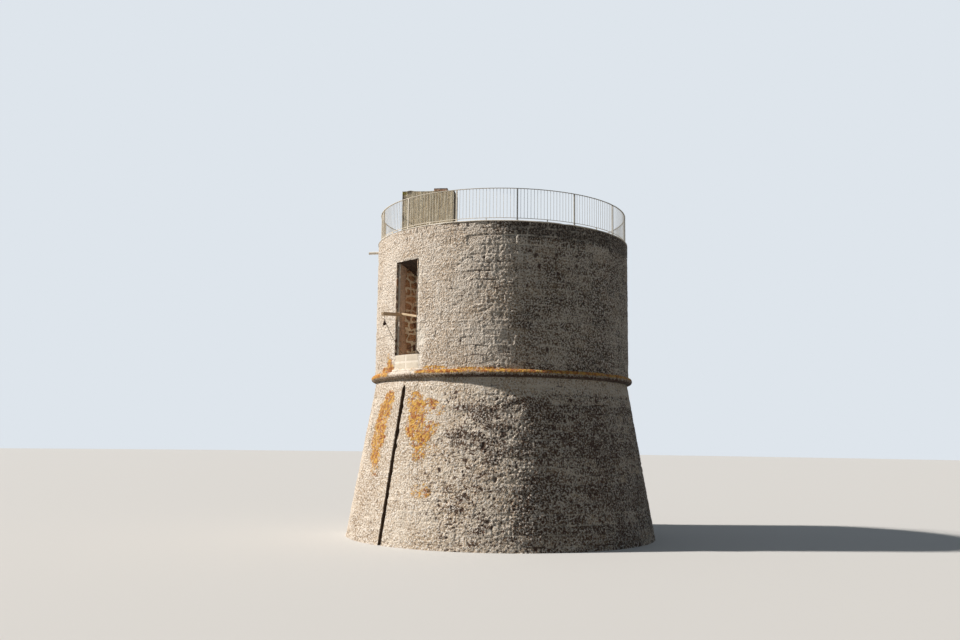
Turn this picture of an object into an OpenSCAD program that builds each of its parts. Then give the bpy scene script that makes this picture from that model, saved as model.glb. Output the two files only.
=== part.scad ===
// Round coastal watchtower of rubble masonry: a battered base, a cordon,
// a plain drum with one high doorway, and a railed roof terrace.
// Millimetres. The origin is at the middle of the base, on the ground.
// The doorway faces -Y.

/* [Base and cordon] */
// How far the base spreads out between the cordon and the ground
base_spread = 845; // [600:5:1100]
// How far the top of the base stands behind the face of the drum
base_inset = 40; // [10:5:120]
// Height of the middle of the cordon above the ground
cordon_h = 5000; // [4400:10:5200]
// Diameter of the round nose of the cordon
cordon_d = 270; // [180:5:320]
// How far the nose of the cordon stands out from the drum
cordon_out = 160; // [120:5:200]
// How far the cordon stones run into the masonry
cordon_seat = 395; // [250:5:600]
// Width of the vertical chase in the base, below the doorway
chase_w = 165; // [100:5:240]
// Depth of the chase
chase_d = 125; // [60:5:220]
// Distance from the middle of the cordon down to the top of the chase
chase_drop = 280; // [200:10:700]

/* [Drum] */
// Radius of the drum above the cordon
drum_r = 4175; // [4100:5:4300]
// Thickness of the drum wall
wall_t = 1875; // [1600:5:2200]
// Number of wall segments around the drum, the doorway bay among them
wall_bays = 8; // [8:1:10]

/* [Doorway] */
// Clear width of the doorway at the face of the wall
door_w = 1020; // [800:10:1200]
// Height of the sill above the middle of the cordon
sill_rise = 636; // [560:4:760]
// Height of the doorway at the face of the wall
door_h = 2920; // [2600:10:3200]
// Height of the masonry between the doorway and the underside of the terrace
head_h = 574; // [480:2:900]
// How far each reveal steps in behind the face
rebate_w = 70; // [40:5:110]
// Depth of that step
rebate_d = 75; // [60:5:160]
// Depth of the level part of the soffit
soffit_d = 425; // [300:5:600]
// Height of the passage behind the sloping soffit
passage_h = 2150; // [1900:10:2300]
// Size of the broken corner at the right end of the sill
chip = 125; // [60:5:200]
// Length of one new block under the sill
block_l = 550; // [400:10:580]
// Depth of the new blocks into the wall
block_d = 225; // [150:5:400]
// How far the new blocks reach past the left reveal
block_left = 0; // [0:5:60]
// Mortar joint between the new blocks
block_joint = 10; // [6:1:20]

/* [Chamber] */
// Thickness of the chamber's floor
floor_t = 120; // [80:5:200]
// Height of the vault's springing above the floor
springing = 1300; // [1100:20:1400]
// How far the vault springs in from the wall
vault_ledge = 30; // [20:5:60]
// Thickness of the vault at its crown
vault_crown_t = 590; // [450:10:700]

/* [Roof terrace] */
// Thickness of the terrace floor
deck_t = 150; // [100:5:200]
// Height of the kerb above the terrace floor, coping included
kerb_h = 290; // [200:5:400]
// Thickness of the kerb
kerb_t = 325; // [300:5:500]
// Thickness of the coping
coping_t = 40; // [25:1:80]
// Overhang of the coping outside the wall
coping_out = 40; // [10:1:60]
// Overhang of the coping inside the kerb
coping_lip = 15; // [5:1:30]

/* [Stair head] */
// Width of the stair head
hut_w = 1690; // [1400:10:1800]
// Depth of the stair head
hut_d = 900; // [800:10:1000]
// Height of its walls above the terrace floor
hut_h = 1700; // [1500:10:2000]
// Thickness of its walls
hut_wall = 140; // [100:5:200]
// Thickness of its roof slab
hut_roof_t = 80; // [50:5:150]
// Distance of its middle from the kerb
hut_back = 1050; // [1030:10:1250]
// Direction of its middle, from the doorway towards +X
hut_az = -14; // [-30:1:0]
// Direction that its outer wall faces
hut_turn = 40; // [20:1:60]
// Width of its doorway, on the terrace side
hut_door_w = 700; // [550:10:800]
// Height of its doorway
hut_door_h = 1420; // [1200:10:1450]
// Length of the cap stone on its roof
cap_w = 450; // [300:10:600]
// Width of the cap stone
cap_l = 300; // [200:10:400]
// Thickness of the cap stone
cap_t = 90; // [50:5:150]
// How far the cap stone lies to the right of the middle of the roof
cap_x = 390; // [200:10:600]
// How far the cap stone lies behind the outer edge of the roof
cap_y = 80; // [0:5:300]

/* [Railing] */
// Number of posts, one panel to each
posts = 14; // [12:1:16]
// Direction of the first post, from the doorway towards +X
post_az = -0.85; // [-3:0.05:3]
// How far the railing stands inside the face of the drum
rail_in = 40; // [30:5:180]
// Height of the top rail above the coping
rail_h = 990; // [850:10:1150]
// Width of a post
post_w = 40; // [30:1:60]
// Diameter of the upright bars
bar_d = 12; // [10:1:16]
// Number of bars in a panel
bars = 17; // [12:1:20]
// Thickness of the top rail
rail_t = 12; // [8:1:20]
// Width of the top rail
rail_w = 45; // [30:1:60]
// Height of the bottom rail above the coping
low_rail_h = 70; // [50:5:120]
// Side of the plate under each post
foot_w = 90; // [60:5:110]
// Thickness of that plate
foot_t = 8; // [5:1:15]
// Width of the bottom rail
low_w = 25; // [20:1:35]

/* [Hoist and spout] */
// Width of the jib
jib_w = 90; // [70:2:110]
// Depth of the jib
jib_d = 105; // [80:5:140]
// Length of the jib outside the reveal that it is built into
jib_out = 990; // [900:10:1100]
// Length of its tail in the masonry
jib_tail = 600; // [400:10:700]
// Height of the jib above the sill, at the reveal
jib_h = 1290; // [1100:10:1500]
// Slope of the jib, down towards its outer end
jib_fall = 5.5; // [0:0.5:8]
// Angle of the jib to the passage, seen from above
jib_skew = 14; // [12:1:16]
// How far behind the face of the wall the jib comes out of the reveal
jib_in = 175; // [150:5:250]
// How far the pulley hangs from the outer end of the jib
hang_back = 120; // [80:5:200]
// Depth of the crossbar
bar_h = 65; // [50:5:90]
// Thickness of the crossbar
bar_t = 60; // [40:5:80]
// How far the crossbar lies below the jib
bar_drop = 144; // [120:2:170]
// How far the crossbar lies in front of the place where the jib comes out
bar_lead = 50; // [30:5:80]
// Slope of the crossbar, down towards its right end
bar_fall = 11; // [8:0.5:12]
// How far the crossbar is let into the right reveal
bar_seat = 60; // [30:5:100]
// Diameter of the pulley's sheave
sheave_d = 100; // [96:2:104]
// Thickness of the sheave
sheave_t = 26; // [24:1:32]
// Distance of the sheave's middle below the jib's axis
hang_drop = 302; // [290:2:320]
// Thickness of the pulley's cheeks
cheek_t = 6; // [4:1:8]
// Diameter of the pulley's pin
pin_d = 14; // [10:1:18]
// Diameter of the hoist rope
rope_d = 18; // [12:1:18]
// Outside diameter of the waterspout
spout_d = 90; // [70:2:110]
// Bore of the waterspout
spout_bore = 70; // [50:2:66]
// How far the waterspout stands out from the wall
spout_out = 365; // [200:5:450]
// Direction of the waterspout, from the doorway towards +X
spout_az = -38; // [-50:1:-30]
// How far the inner end of the waterspout stands back from the terrace
spout_in = 10; // [8:1:40]
// Slope of the waterspout
spout_fall = 4; // [0:1:8]

/* [Hidden] */
$fn = 360;
WALLS = [for (i = [1 : wall_bays - 1]) str("drum_wall_", i)];
PANELS = [for (i = [1 : posts]) str("railing_panel_", i)];

// Gap left between two faces that bear on each other
seat = 0.1;
// The same gap between two wall bays, as an angle
bay_seat = 0.002;
fit = 0.5;
over = 60;
pin_fit = 0.5;
cheek_fit = 5;
groove_d = 10;
groove_fit = 1;
cheek_in = 8;
eye_rod = 12;
eye_r = 22;
knot_d = 42;
root_gap = 10;
eye_deep = 60;
eye_x = -76;
eye_in = 435;
base_top_r = drum_r - base_inset;
base_r = base_top_r + base_spread;
floor_z = cordon_h + sill_rise;
room_r = drum_r - wall_t;
cordon_in = drum_r - cordon_seat;
cordon_mid = drum_r + cordon_out - cordon_d / 2;
cordon_low = cordon_h - cordon_d / 2;
wall_z = cordon_h + cordon_d / 2;
deck_low = floor_z + door_h + head_h;
deck_z = deck_low + deck_t;
top_h = deck_z + kerb_h;
kerb_in = drum_r - kerb_t;
coping_z = top_h - coping_t;
rail_r = drum_r - rail_in;
hut_r = kerb_in - hut_back;
batter = atan(base_spread / cordon_low);
bay = 360 / wall_bays;
reveal_x = door_w / 2 - rebate_w;
face_y = -drum_r;
passage_y = face_y + soffit_d + door_h - passage_h;
jib_root = [root_gap - reveal_x, face_y + jib_in, floor_z + jib_h];
bar_y = jib_root[1] - bar_lead;
hang_run = (jib_out - hang_back) * cos(jib_fall);
hang = [
    jib_root[0] + hang_run * sin(jib_skew),
    jib_root[1] - hang_run * cos(jib_skew),
    jib_root[2] - hang_run * tan(jib_fall)
];
head_z = sheave_d / 2 + rope_d;
sheave = [hang[0], hang[1], hang[2] - hang_drop];
eye = [eye_x, face_y + eye_in, floor_z + eye_r + eye_rod / 2 + fit];

// Route of the hoist rope, from the knot at the pulley to the knot behind the eye in the sill
rope_pts = [
    [-220, -4893, 6475],
    [-220, -4893, 6505],
    [-220, -4893, 6540],
    [-220, -4877, 6577],
    [-220, -4840, 6593],
    [-220, -4798, 6572],
    [-216, -4758, 6508],
    [-206, -4690, 6390],
    [-192, -4600, 6235],
    [-176, -4500, 6080],
    [-160, -4400, 5935],
    [-144, -4300, 5800],
    [-130, -4222, 5702],
    [-122, -4165, 5662],
    [-114, -4110, 5648],
    [-104, -4020, 5646],
    [-92, -3900, 5646],
    [-84, -3820, 5650],
    [-76, -3740, 5663],
    [-73, -3705, 5664]
];

// A point by its distance from the axis, its direction from the doorway and its height
function polar(r, az, z) = [r * sin(az), -r * cos(az), z];

// Ring sector between two directions
module sector(r1, r2, z1, z2, a1, a2) {
    rotate([0, 0, a1 - 90])
        rotate_extrude(angle = a2 - a1)
            translate([r1, z1])
                square([r2 - r1, z2 - z1]);
}

module ring(r1, r2, z1, z2) {
    rotate_extrude()
        translate([r1, z1])
            square([r2 - r1, z2 - z1]);
}

// Block between two corners
module block(low, high) {
    translate(low)
        cube(high - low);
}

// Base: one mass of masonry up to the floor of the chamber
module chase_cut() {
    run = (cordon_h - chase_drop - chase_w / 2) / cos(batter);
    translate([0, -base_r, 0])
        rotate([90 - batter, 0, 0])
            translate([0, 0, -chase_d])
                linear_extrude(chase_d + over)
                    union() {
                        translate([-chase_w / 2, -over])
                            square([chase_w, run + over]);
                        translate([0, run])
                            circle(d = chase_w);
                    }
}

module battered_base() {
    color("tan")
        difference() {
            rotate_extrude()
                polygon([
                    [0, 0],
                    [base_r, 0],
                    [base_top_r, cordon_low - seat],
                    [cordon_in - seat, cordon_low - seat],
                    [cordon_in - seat, wall_z],
                    [room_r - seat, wall_z],
                    [room_r - seat, floor_z - floor_t - seat],
                    [0, floor_z - floor_t - seat]
                ]);
            chase_cut();
        }
}

module cordon() {
    color("burlywood")
        rotate_extrude()
            union() {
                translate([cordon_in, cordon_low])
                    square([cordon_mid - cordon_in, cordon_d]);
                translate([cordon_mid, cordon_h])
                    circle(d = cordon_d);
            }
}

// Drum wall in bays, the doorway bay split beside and over the opening
module drum_wall(i) {
    start = bay / 2 + (i - 1) * bay;
    color("wheat")
        sector(room_r, drum_r, wall_z + seat, deck_low - seat, start, start + bay - bay_seat);
}

// Passage through the wall: a rebate for the leaf, a level soffit, then a sloping one
module passage_cut() {
    block([-door_w / 2, face_y - over, floor_z], [door_w / 2, face_y + rebate_d, floor_z + door_h]);
    translate([-reveal_x, 0, 0])
        rotate([90, 0, 90])
            linear_extrude(2 * reveal_x)
                polygon([
                    [face_y - over, floor_z],
                    [0, floor_z],
                    [0, floor_z + passage_h],
                    [passage_y, floor_z + passage_h],
                    [face_y + soffit_d, floor_z + door_h],
                    [face_y - over, floor_z + door_h]
                ]);
}

// Broken lower corner of the right reveal
module chip_cut() {
    translate([door_w / 2, face_y - over, floor_z])
        rotate([-90, 0, 0])
            linear_extrude(over + 2 * rebate_d)
                polygon([[-over, 0], [chip, 0], [0, -chip], [-over, -chip]]);
}

module block_pocket() {
    left = -door_w / 2 - block_left;
    block([left, face_y - over, wall_z - over], [left + 2 * block_l, face_y + block_d, floor_z]);
}

module door_bay() {
    difference() {
        sector(room_r, drum_r, wall_z + seat, deck_low - seat, -bay / 2, bay / 2 - bay_seat);
        passage_cut();
        chip_cut();
        block_pocket();
    }
}

module door_jamb_left() {
    color("wheat")
        difference() {
            door_bay();
            block([-reveal_x, -base_r, 0], [base_r, 0, top_h]);
            jib_bar(seat);
        }
}

module door_jamb_right() {
    color("wheat")
        difference() {
            door_bay();
            block([-base_r, -base_r, 0], [reveal_x, 0, top_h]);
            crossbar_bar(seat);
        }
}

module door_head() {
    color("wheat")
        intersection() {
            door_bay();
            block([seat - reveal_x, -base_r, floor_z + passage_h / 2], [reveal_x - seat, 0, top_h]);
        }
}

module door_sill() {
    color("wheat")
        intersection() {
            difference() {
                door_bay();
                eye_shank(eye_rod + 2 * fit);
            }
            block([seat - reveal_x, -base_r, 0], [reveal_x - seat, 0, floor_z]);
        }
}

// Two courses of new blocks under the sill
module sill_blocks() {
    low = wall_z + seat;
    block_h = (floor_z - low - block_joint) / 2;
    left = -door_w / 2 - block_left;
    color("white")
        intersection() {
            sector(room_r, drum_r, low, floor_z, -bay / 2, bay / 2);
            for (i = [0, 1], j = [0, 1])
                translate([left + seat + i * (block_l + block_joint / 2), face_y - over, low + j * (block_h + block_joint)])
                    cube([block_l - block_joint / 2 - 2 * seat, block_d + over - seat, block_h]);
        }
}

// Chamber
module chamber_floor() {
    color("darkkhaki")
        translate([0, 0, floor_z - floor_t])
            cylinder(h = floor_t, r = room_r - seat);
}

module vault() {
    rise = deck_low - floor_z - springing - vault_crown_t;
    foot_r = room_r - vault_ledge;
    dome_r = (foot_r * foot_r + rise * rise) / (2 * rise);
    difference() {
        translate([0, 0, floor_z + springing])
            cylinder(h = deck_low - seat - floor_z - springing, r = room_r - seat);
        translate([0, 0, floor_z + springing + rise - dome_r])
            sphere(r = dome_r);
        passage_cut();
    }
}

module vault_front() {
    color("tan")
        intersection() {
            vault();
            block([-base_r, -base_r, 0], [base_r, 0, top_h]);
        }
}

module vault_back() {
    color("tan")
        intersection() {
            vault();
            block([-base_r, seat, 0], [base_r, base_r, top_h]);
        }
}

// Roof terrace
module roof_deck() {
    color("lightgray")
        translate([0, 0, deck_low])
            cylinder(h = deck_t, r = kerb_in - seat);
}

module spout_line(d, margin) {
    rotate([0, 0, spout_az])
        translate([0, face_y, deck_z + spout_bore / 2 - kerb_t * tan(spout_fall)])
            rotate([90 + spout_fall, 0, 0])
                translate([0, 0, -(kerb_t - spout_in) / cos(spout_fall) - margin])
                    cylinder(h = (kerb_t - spout_in + spout_out) / cos(spout_fall) + 2 * margin, d = d);
}

module kerb() {
    color("tan")
        difference() {
            ring(kerb_in, drum_r, deck_low, coping_z - seat);
            spout_line(spout_d + 2 * fit, over);
        }
}

module coping() {
    color("antiquewhite")
        ring(kerb_in - coping_lip, drum_r + coping_out, coping_z, top_h);
}

// Stair head: its outer wall faces local -Y, its doorway is in the wall towards the terrace
module on_hut() {
    translate(polar(hut_r, hut_az, deck_z))
        rotate([0, 0, hut_turn])
            children();
}

module stair_head_walls() {
    color("darkkhaki")
        on_hut()
            difference() {
                translate([-hut_w / 2, -hut_d / 2, seat])
                    cube([hut_w, hut_d, hut_h - 2 * seat]);
                translate([-hut_w / 2 + hut_wall, -hut_d / 2 + hut_wall, -over])
                    cube([hut_w - 2 * hut_wall, hut_d - 2 * hut_wall, hut_h + 2 * over]);
                translate([-hut_door_w / 2, 0, -over])
                    cube([hut_door_w, hut_d, hut_door_h + over]);
            }
}

module stair_head_roof() {
    color("darkkhaki")
        on_hut()
            translate([-hut_w / 2, -hut_d / 2, hut_h])
                cube([hut_w, hut_d, hut_roof_t - seat]);
}

module stair_head_cap() {
    color("rosybrown")
        on_hut()
            translate([cap_x - cap_w / 2, cap_y - hut_d / 2, hut_h + hut_roof_t])
                cube([cap_w, cap_l, cap_t]);
}

// Railing: each panel is a post, a top rail, a bottom rail and upright bars
module rail_piece(w, d, az, z1, z2) {
    rotate([0, 0, az])
        translate([-w / 2, -rail_r - d / 2, z1])
            cube([w, d, z2 - z1]);
}

module railing_panel(i) {
    pitch = 360 / posts;
    az = post_az + (i - 1) * pitch;
    half = asin(post_w / 2 / rail_r);
    rail_z = top_h + rail_h - rail_t;
    low_z = top_h + low_rail_h;
    color("dimgray")
        union() {
            rail_piece(foot_w, foot_w, az, top_h + seat, top_h + foot_t);
            rail_piece(post_w, post_w, az, top_h + foot_t, rail_z);
            sector(rail_r - rail_w / 2, rail_r + rail_w / 2, rail_z, rail_z + rail_t, az, az + pitch);
            sector(rail_r - low_w / 2, rail_r + low_w / 2, low_z, low_z + rail_t, az + half, az + pitch - half);
            rail_piece(low_w, low_w, az + pitch / 2, top_h + seat, low_z + rail_t / 2);
            for (j = [1 : bars])
                translate(polar(rail_r, az + j * pitch / (bars + 1), low_z + rail_t / 2))
                    cylinder(h = rail_z - low_z, d = bar_d, $fn = 32);
        }
}

module waterspout() {
    color("whitesmoke")
        difference() {
            spout_line(spout_d, 0);
            spout_line(spout_bore, over);
        }
}

// Hoist: a jib built into the left reveal, a crossbar spiked to it, a pulley and its rope
module on_jib() {
    translate(jib_root)
        rotate([0, 0, jib_skew])
            rotate([jib_fall, 0, 0])
                children();
}

module jib_bar(gap) {
    on_jib()
        translate([-jib_w / 2 - gap, -jib_out, -jib_d / 2 - gap])
            cube([jib_w + 2 * gap, jib_out + jib_tail + gap, jib_d + 2 * gap]);
}

module jib() {
    color("dimgray")
        difference() {
            jib_bar(0);
            hang_bolt(eye_rod + 2 * fit);
        }
}

module crossbar_bar(gap) {
    translate([reveal_x, bar_y, jib_root[2] - bar_drop])
        rotate([0, bar_fall, 0])
            translate([-door_w, -bar_t / 2 - gap, -bar_h / 2 - gap])
                cube([door_w + bar_seat + gap, bar_t + 2 * gap, bar_h + 2 * gap]);
}

module crossbar() {
    color("beige")
        difference() {
            crossbar_bar(0);
            jib_bar(seat);
            block([-base_r, -base_r, 0], [seat - reveal_x, 0, top_h]);
        }
}

// Pulley: two cheeks on a pin, a head and a ring, hung from a bolt in the jib
module hang_bolt(d) {
    low_z = sheave[2] + head_z + eye_rod + 2 * eye_r;
    translate([hang[0], hang[1], low_z])
        cylinder(h = hang[2] - low_z, d = d, $fn = 48);
}

// Flat iron ring, standing across the Y axis
module eye_ring() {
    rotate([90, 0, 0])
        translate([0, 0, -eye_rod / 2])
            linear_extrude(eye_rod)
                difference() {
                    circle(r = eye_r + eye_rod / 2, $fn = 48);
                    circle(r = eye_r - eye_rod / 2, $fn = 48);
                }
}

module cheek(side) {
    translate([side * (sheave_t / 2 + cheek_fit + cheek_t / 2) - cheek_t / 2, 0, 0])
        rotate([90, 0, 90])
            linear_extrude(cheek_t)
                union() {
                    circle(r = sheave_d / 2 - cheek_in, $fn = 96);
                    translate([-eye_r, 0])
                        square([2 * eye_r, head_z + eye_rod]);
                }
}

module pulley_block() {
    head_w = sheave_t + 2 * cheek_fit + 2 * cheek_t;
    color("dimgray")
        union() {
            translate(sheave) {
                cheek(-1);
                cheek(1);
                rotate([0, 90, 0])
                    cylinder(h = head_w + eye_rod, d = pin_d, center = true, $fn = 48);
                translate([-head_w / 2, -eye_r, head_z])
                    cube([head_w, 2 * eye_r, eye_rod]);
                translate([0, 0, head_z + eye_rod + eye_r])
                    eye_ring();
            }
            hang_bolt(eye_rod);
        }
}

module pulley_sheave() {
    root_r = sheave_d / 2 - groove_d;
    color("saddlebrown")
        translate(sheave)
            rotate([0, 90, 0])
                rotate_extrude($fn = 96)
                    difference() {
                        translate([pin_d / 2 + pin_fit, -sheave_t / 2])
                            square([sheave_d / 2 - pin_d / 2 - pin_fit, sheave_t]);
                        translate([root_r + rope_d / 2 + groove_fit, 0])
                            circle(r = rope_d / 2 + groove_fit, $fn = 48);
                    }
}

// Eye in the sill that the rope runs through
module eye_shank(d) {
    translate([eye[0], eye[1], floor_z - eye_deep])
        cylinder(h = eye_deep + eye_rod, d = d, $fn = 48);
}

module rope_eye() {
    color("dimgray")
        union() {
            translate(eye)
                eye_ring();
            eye_shank(eye_rod);
        }
}

// Rope: a tube swept along the route, smoothed between its points, with a knot at each end
function smooth(p, i, t) =
    let (a = p[max(i - 1, 0)], b = p[i], c = p[i + 1], d = p[min(i + 2, len(p) - 1)])
    0.5 * (2 * b + (c - a) * t + (2 * a - 5 * b + 4 * c - d) * t * t + (3 * b - a - 3 * c + d) * t * t * t);

function unit(v) = v / norm(v);

module tube(path, d, sides) {
    n = len(path);
    rings = [for (i = [0 : n - 1])
        let (
            along = unit(path[min(i + 1, n - 1)] - path[max(i - 1, 0)]),
            side = unit(cross(along, [1, 0, 0])),
            up = cross(side, along)
        )
        for (k = [0 : sides - 1])
            path[i] + d / 2 * (cos(k * 360 / sides) * side + sin(k * 360 / sides) * up)];
    walls = [for (i = [0 : n - 2], k = [0 : sides - 1])
        let (a = i * sides + k, b = i * sides + (k + 1) % sides)
        for (f = [[a, b, b + sides], [a, b + sides, a + sides]]) f];
    first = [for (k = [sides - 1 : -1 : 0]) k];
    last = [for (k = [0 : sides - 1]) (n - 1) * sides + k];
    polyhedron(rings, concat(walls, [first, last]));
}

module hoist_rope() {
    n = len(rope_pts);
    path = concat([for (i = [0 : n - 2], t = [0, 0.5]) smooth(rope_pts, i, t)], [rope_pts[n - 1]]);
    color("tan")
        union() {
            tube(path, rope_d, 8);
            translate(rope_pts[0] - [0, 0, rope_d])
                sphere(d = knot_d, $fn = 24);
            translate(rope_pts[n - 1] + [0, rope_d, 0])
                sphere(d = knot_d, $fn = 24);
        }
}

battered_base();
cordon();
for (i = [1 : wall_bays - 1])
    drum_wall(i);
door_jamb_left();
door_jamb_right();
door_head();
door_sill();
sill_blocks();
chamber_floor();
vault_front();
vault_back();
roof_deck();
kerb();
coping();
stair_head_walls();
stair_head_roof();
stair_head_cap();
for (i = [1 : posts])
    railing_panel(i);
waterspout();
jib();
crossbar();
pulley_block();
pulley_sheave();
rope_eye();
hoist_rope();
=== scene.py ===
# %% [markdown]
# # A round coastal watchtower of rubble masonry
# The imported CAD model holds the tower's sizes. This lesson gives it what a plain
# solid lacks: laid stones, worn joints, pits, lichen, old timber, iron and rope.

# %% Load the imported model
import math

import bpy
import numpy as np
from mathutils import Matrix, Vector


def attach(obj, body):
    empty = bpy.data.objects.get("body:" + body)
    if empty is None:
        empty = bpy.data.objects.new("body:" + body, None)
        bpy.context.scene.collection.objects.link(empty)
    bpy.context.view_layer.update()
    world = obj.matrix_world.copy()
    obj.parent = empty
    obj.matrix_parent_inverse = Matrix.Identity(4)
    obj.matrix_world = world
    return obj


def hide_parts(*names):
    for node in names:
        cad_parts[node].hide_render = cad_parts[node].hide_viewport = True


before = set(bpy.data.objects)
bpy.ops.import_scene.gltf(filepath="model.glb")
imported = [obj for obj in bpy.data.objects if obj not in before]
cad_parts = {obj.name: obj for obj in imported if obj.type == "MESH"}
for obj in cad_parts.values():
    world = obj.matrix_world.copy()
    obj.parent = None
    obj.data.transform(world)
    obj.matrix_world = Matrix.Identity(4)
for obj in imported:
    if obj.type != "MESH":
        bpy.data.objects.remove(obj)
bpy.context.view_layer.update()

# %% [markdown]
# ## Camera
# The tower was looked at from the grass, a little below the doorway and to its right,
# with the camera tipped up by seven and a half degrees. The place and the lens
# come from fitting the tower's round edges.

# %% Place the camera
SENSOR, LENS = 36.0, 34.27
EYE = (21.5655, -21.8577, 3.04)
EYE_TURN, EYE_UP, EYE_ROLL = math.radians(46.0), 0.132, 0.0126

camera_data = bpy.data.cameras.new("view_from_the_grass")
camera_data.sensor_width = SENSOR
camera_data.lens = LENS
camera = bpy.data.objects.new("view_from_the_grass", camera_data)
bpy.context.scene.collection.objects.link(camera)
camera.matrix_world = (
    Matrix.Translation(EYE)
    @ Matrix.Rotation(EYE_TURN, 4, "Z")
    @ Matrix.Rotation(math.pi / 2 + EYE_UP, 4, "X")
    @ Matrix.Rotation(EYE_ROLL, 4, "Z")
)
bpy.context.scene.camera = camera
print("camera stands", round(camera.location.xy.length, 1), "metres from the axis")

# %% [markdown]
# ## Small numeric tools
# Worn masonry is made of many small chances. These helpers give soft noise and
# round pits for any point in space, so a wall that closes on itself has no seam.

# %% Soft steps and vectors
def smooth(x, low, high):
    """0 below low, 1 above high, and a soft step between."""
    t = np.clip((x - low) / (high - low), 0.0, 1.0)
    return t * t * (3.0 - 2.0 * t)


def fall(x, low, high):
    """1 below low, 0 above high, and a soft step between."""
    return 1.0 - smooth(x, low, high)


def vector(x, y, z):
    """Three numbers or grids of numbers as one array of vectors."""
    return np.stack(np.broadcast_arrays(x, y, z), -1)


print("a third of the way up a soft step:", round(float(smooth(1 / 3, 0.0, 1.0)), 3))

# %% [markdown]
# Chance comes from whole numbers that are mixed up, never from a clock, so every run
# gives the same wall.

# %% Noise, lumps and pits
def chance(cell, seed):
    """A number from 0 to 1 for each whole-number cell, the same on every run."""
    c = cell.astype(np.int64)
    n = c[..., 0] * 374761393 + c[..., 1] * 668265263 + c[..., 2] * 1103515245 + seed * 97531
    n = (n ^ (n >> 13)) * 1274126177
    n = (n ^ (n >> 16)) * 668265263
    n = n ^ (n >> 15)
    return (n & 0xFFFFFF) / float(0x1000000)


def cloud(p, size, seed):
    """Soft noise from -1 to 1, with lumps of that size in metres."""
    q = p / size
    cell = np.floor(q)
    f = q - cell
    f = f * f * (3.0 - 2.0 * f)
    total = np.zeros(p.shape[:-1])
    for corner in np.ndindex(2, 2, 2):
        weight = np.ones(p.shape[:-1])
        for axis in range(3):
            weight = weight * (f[..., axis] if corner[axis] else 1.0 - f[..., axis])
        total += weight * chance(cell + np.array(corner), seed)
    return total * 2.0 - 1.0


def rough(p, size, seed):
    """Three layers of soft noise, each half the size of the one before."""
    return sum(0.5**k * cloud(p, size / 2**k, seed + k) for k in range(3)) / 1.75


def warped(p, reach, seed):
    """The same points moved a little, so that the pits laid over them aren't quite round."""
    return p + reach * np.stack([rough(p, 0.10, seed + k) for k in range(3)], -1)


def lumps(p, size, seed):
    """Rounded lumps with sharp valleys between them, from -1 to 1."""
    return 2.0 * np.abs(cloud(p, size, seed)) ** 0.8 - 0.55


def pits(p, size, share, seed):
    """Round hollows, one in each cell of that size for a share of the cells: 0 outside, 1 at the bottom."""
    cell = np.floor(p / size)
    deep = np.zeros(p.shape[:-1])
    for step in np.ndindex(3, 3, 3):
        c = cell + (np.array(step) - 1)
        at = np.stack([chance(c, seed + k) for k in (1, 2, 3)], -1)
        reach = size * (0.22 + 0.38 * chance(c, seed + 4))
        away = np.linalg.norm(p - (c + 0.1 + 0.8 * at) * size, axis=-1)
        hollow = np.clip(1.0 - away / reach, 0.0, 1.0)
        deep = np.maximum(deep, np.where(chance(c, seed) < share, hollow, 0.0))
    return deep


print("noise at the doorway sill:", cloud(np.array([[0.0, -4.2, 5.636]]), 0.5, 1).round(3))

# %% [markdown]
# ## Pieces as grids
# Every rough piece here is a grid of points. A wall sheet gets rims and a back, so
# that it is a closed body. A ring closes on itself, and a bar gets two ends.

# %% Turn grids into closed meshes
TOWER = "tower"
made = []


def add_piece(name, points, faces, marks=None, sharp=50):
    """A mesh object that rides on the tower, shaded smooth, with the marks stored on its points."""
    used = np.unique(np.concatenate([np.asarray(f).ravel() for f in faces]))
    number = np.zeros(len(points), np.int64)
    number[used] = np.arange(len(used))
    mesh = bpy.data.meshes.new(name)
    mesh.from_pydata(points[used].tolist(), [], [number[list(f)].tolist() for f in faces])
    mesh.polygons.foreach_set("use_smooth", [True] * len(mesh.polygons))
    for label, values in (marks or {}).items():
        mark = mesh.attributes.new(label, "FLOAT_VECTOR", "POINT")
        mark.data.foreach_set("vector", values[used].astype(np.float32).ravel())
    mesh.update()
    mesh.set_sharp_from_angle(angle=math.radians(sharp))
    piece = bpy.data.objects.new(name, mesh)
    bpy.context.scene.collection.objects.link(piece)
    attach(piece, TOWER)
    made.append(piece)
    return piece


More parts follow.
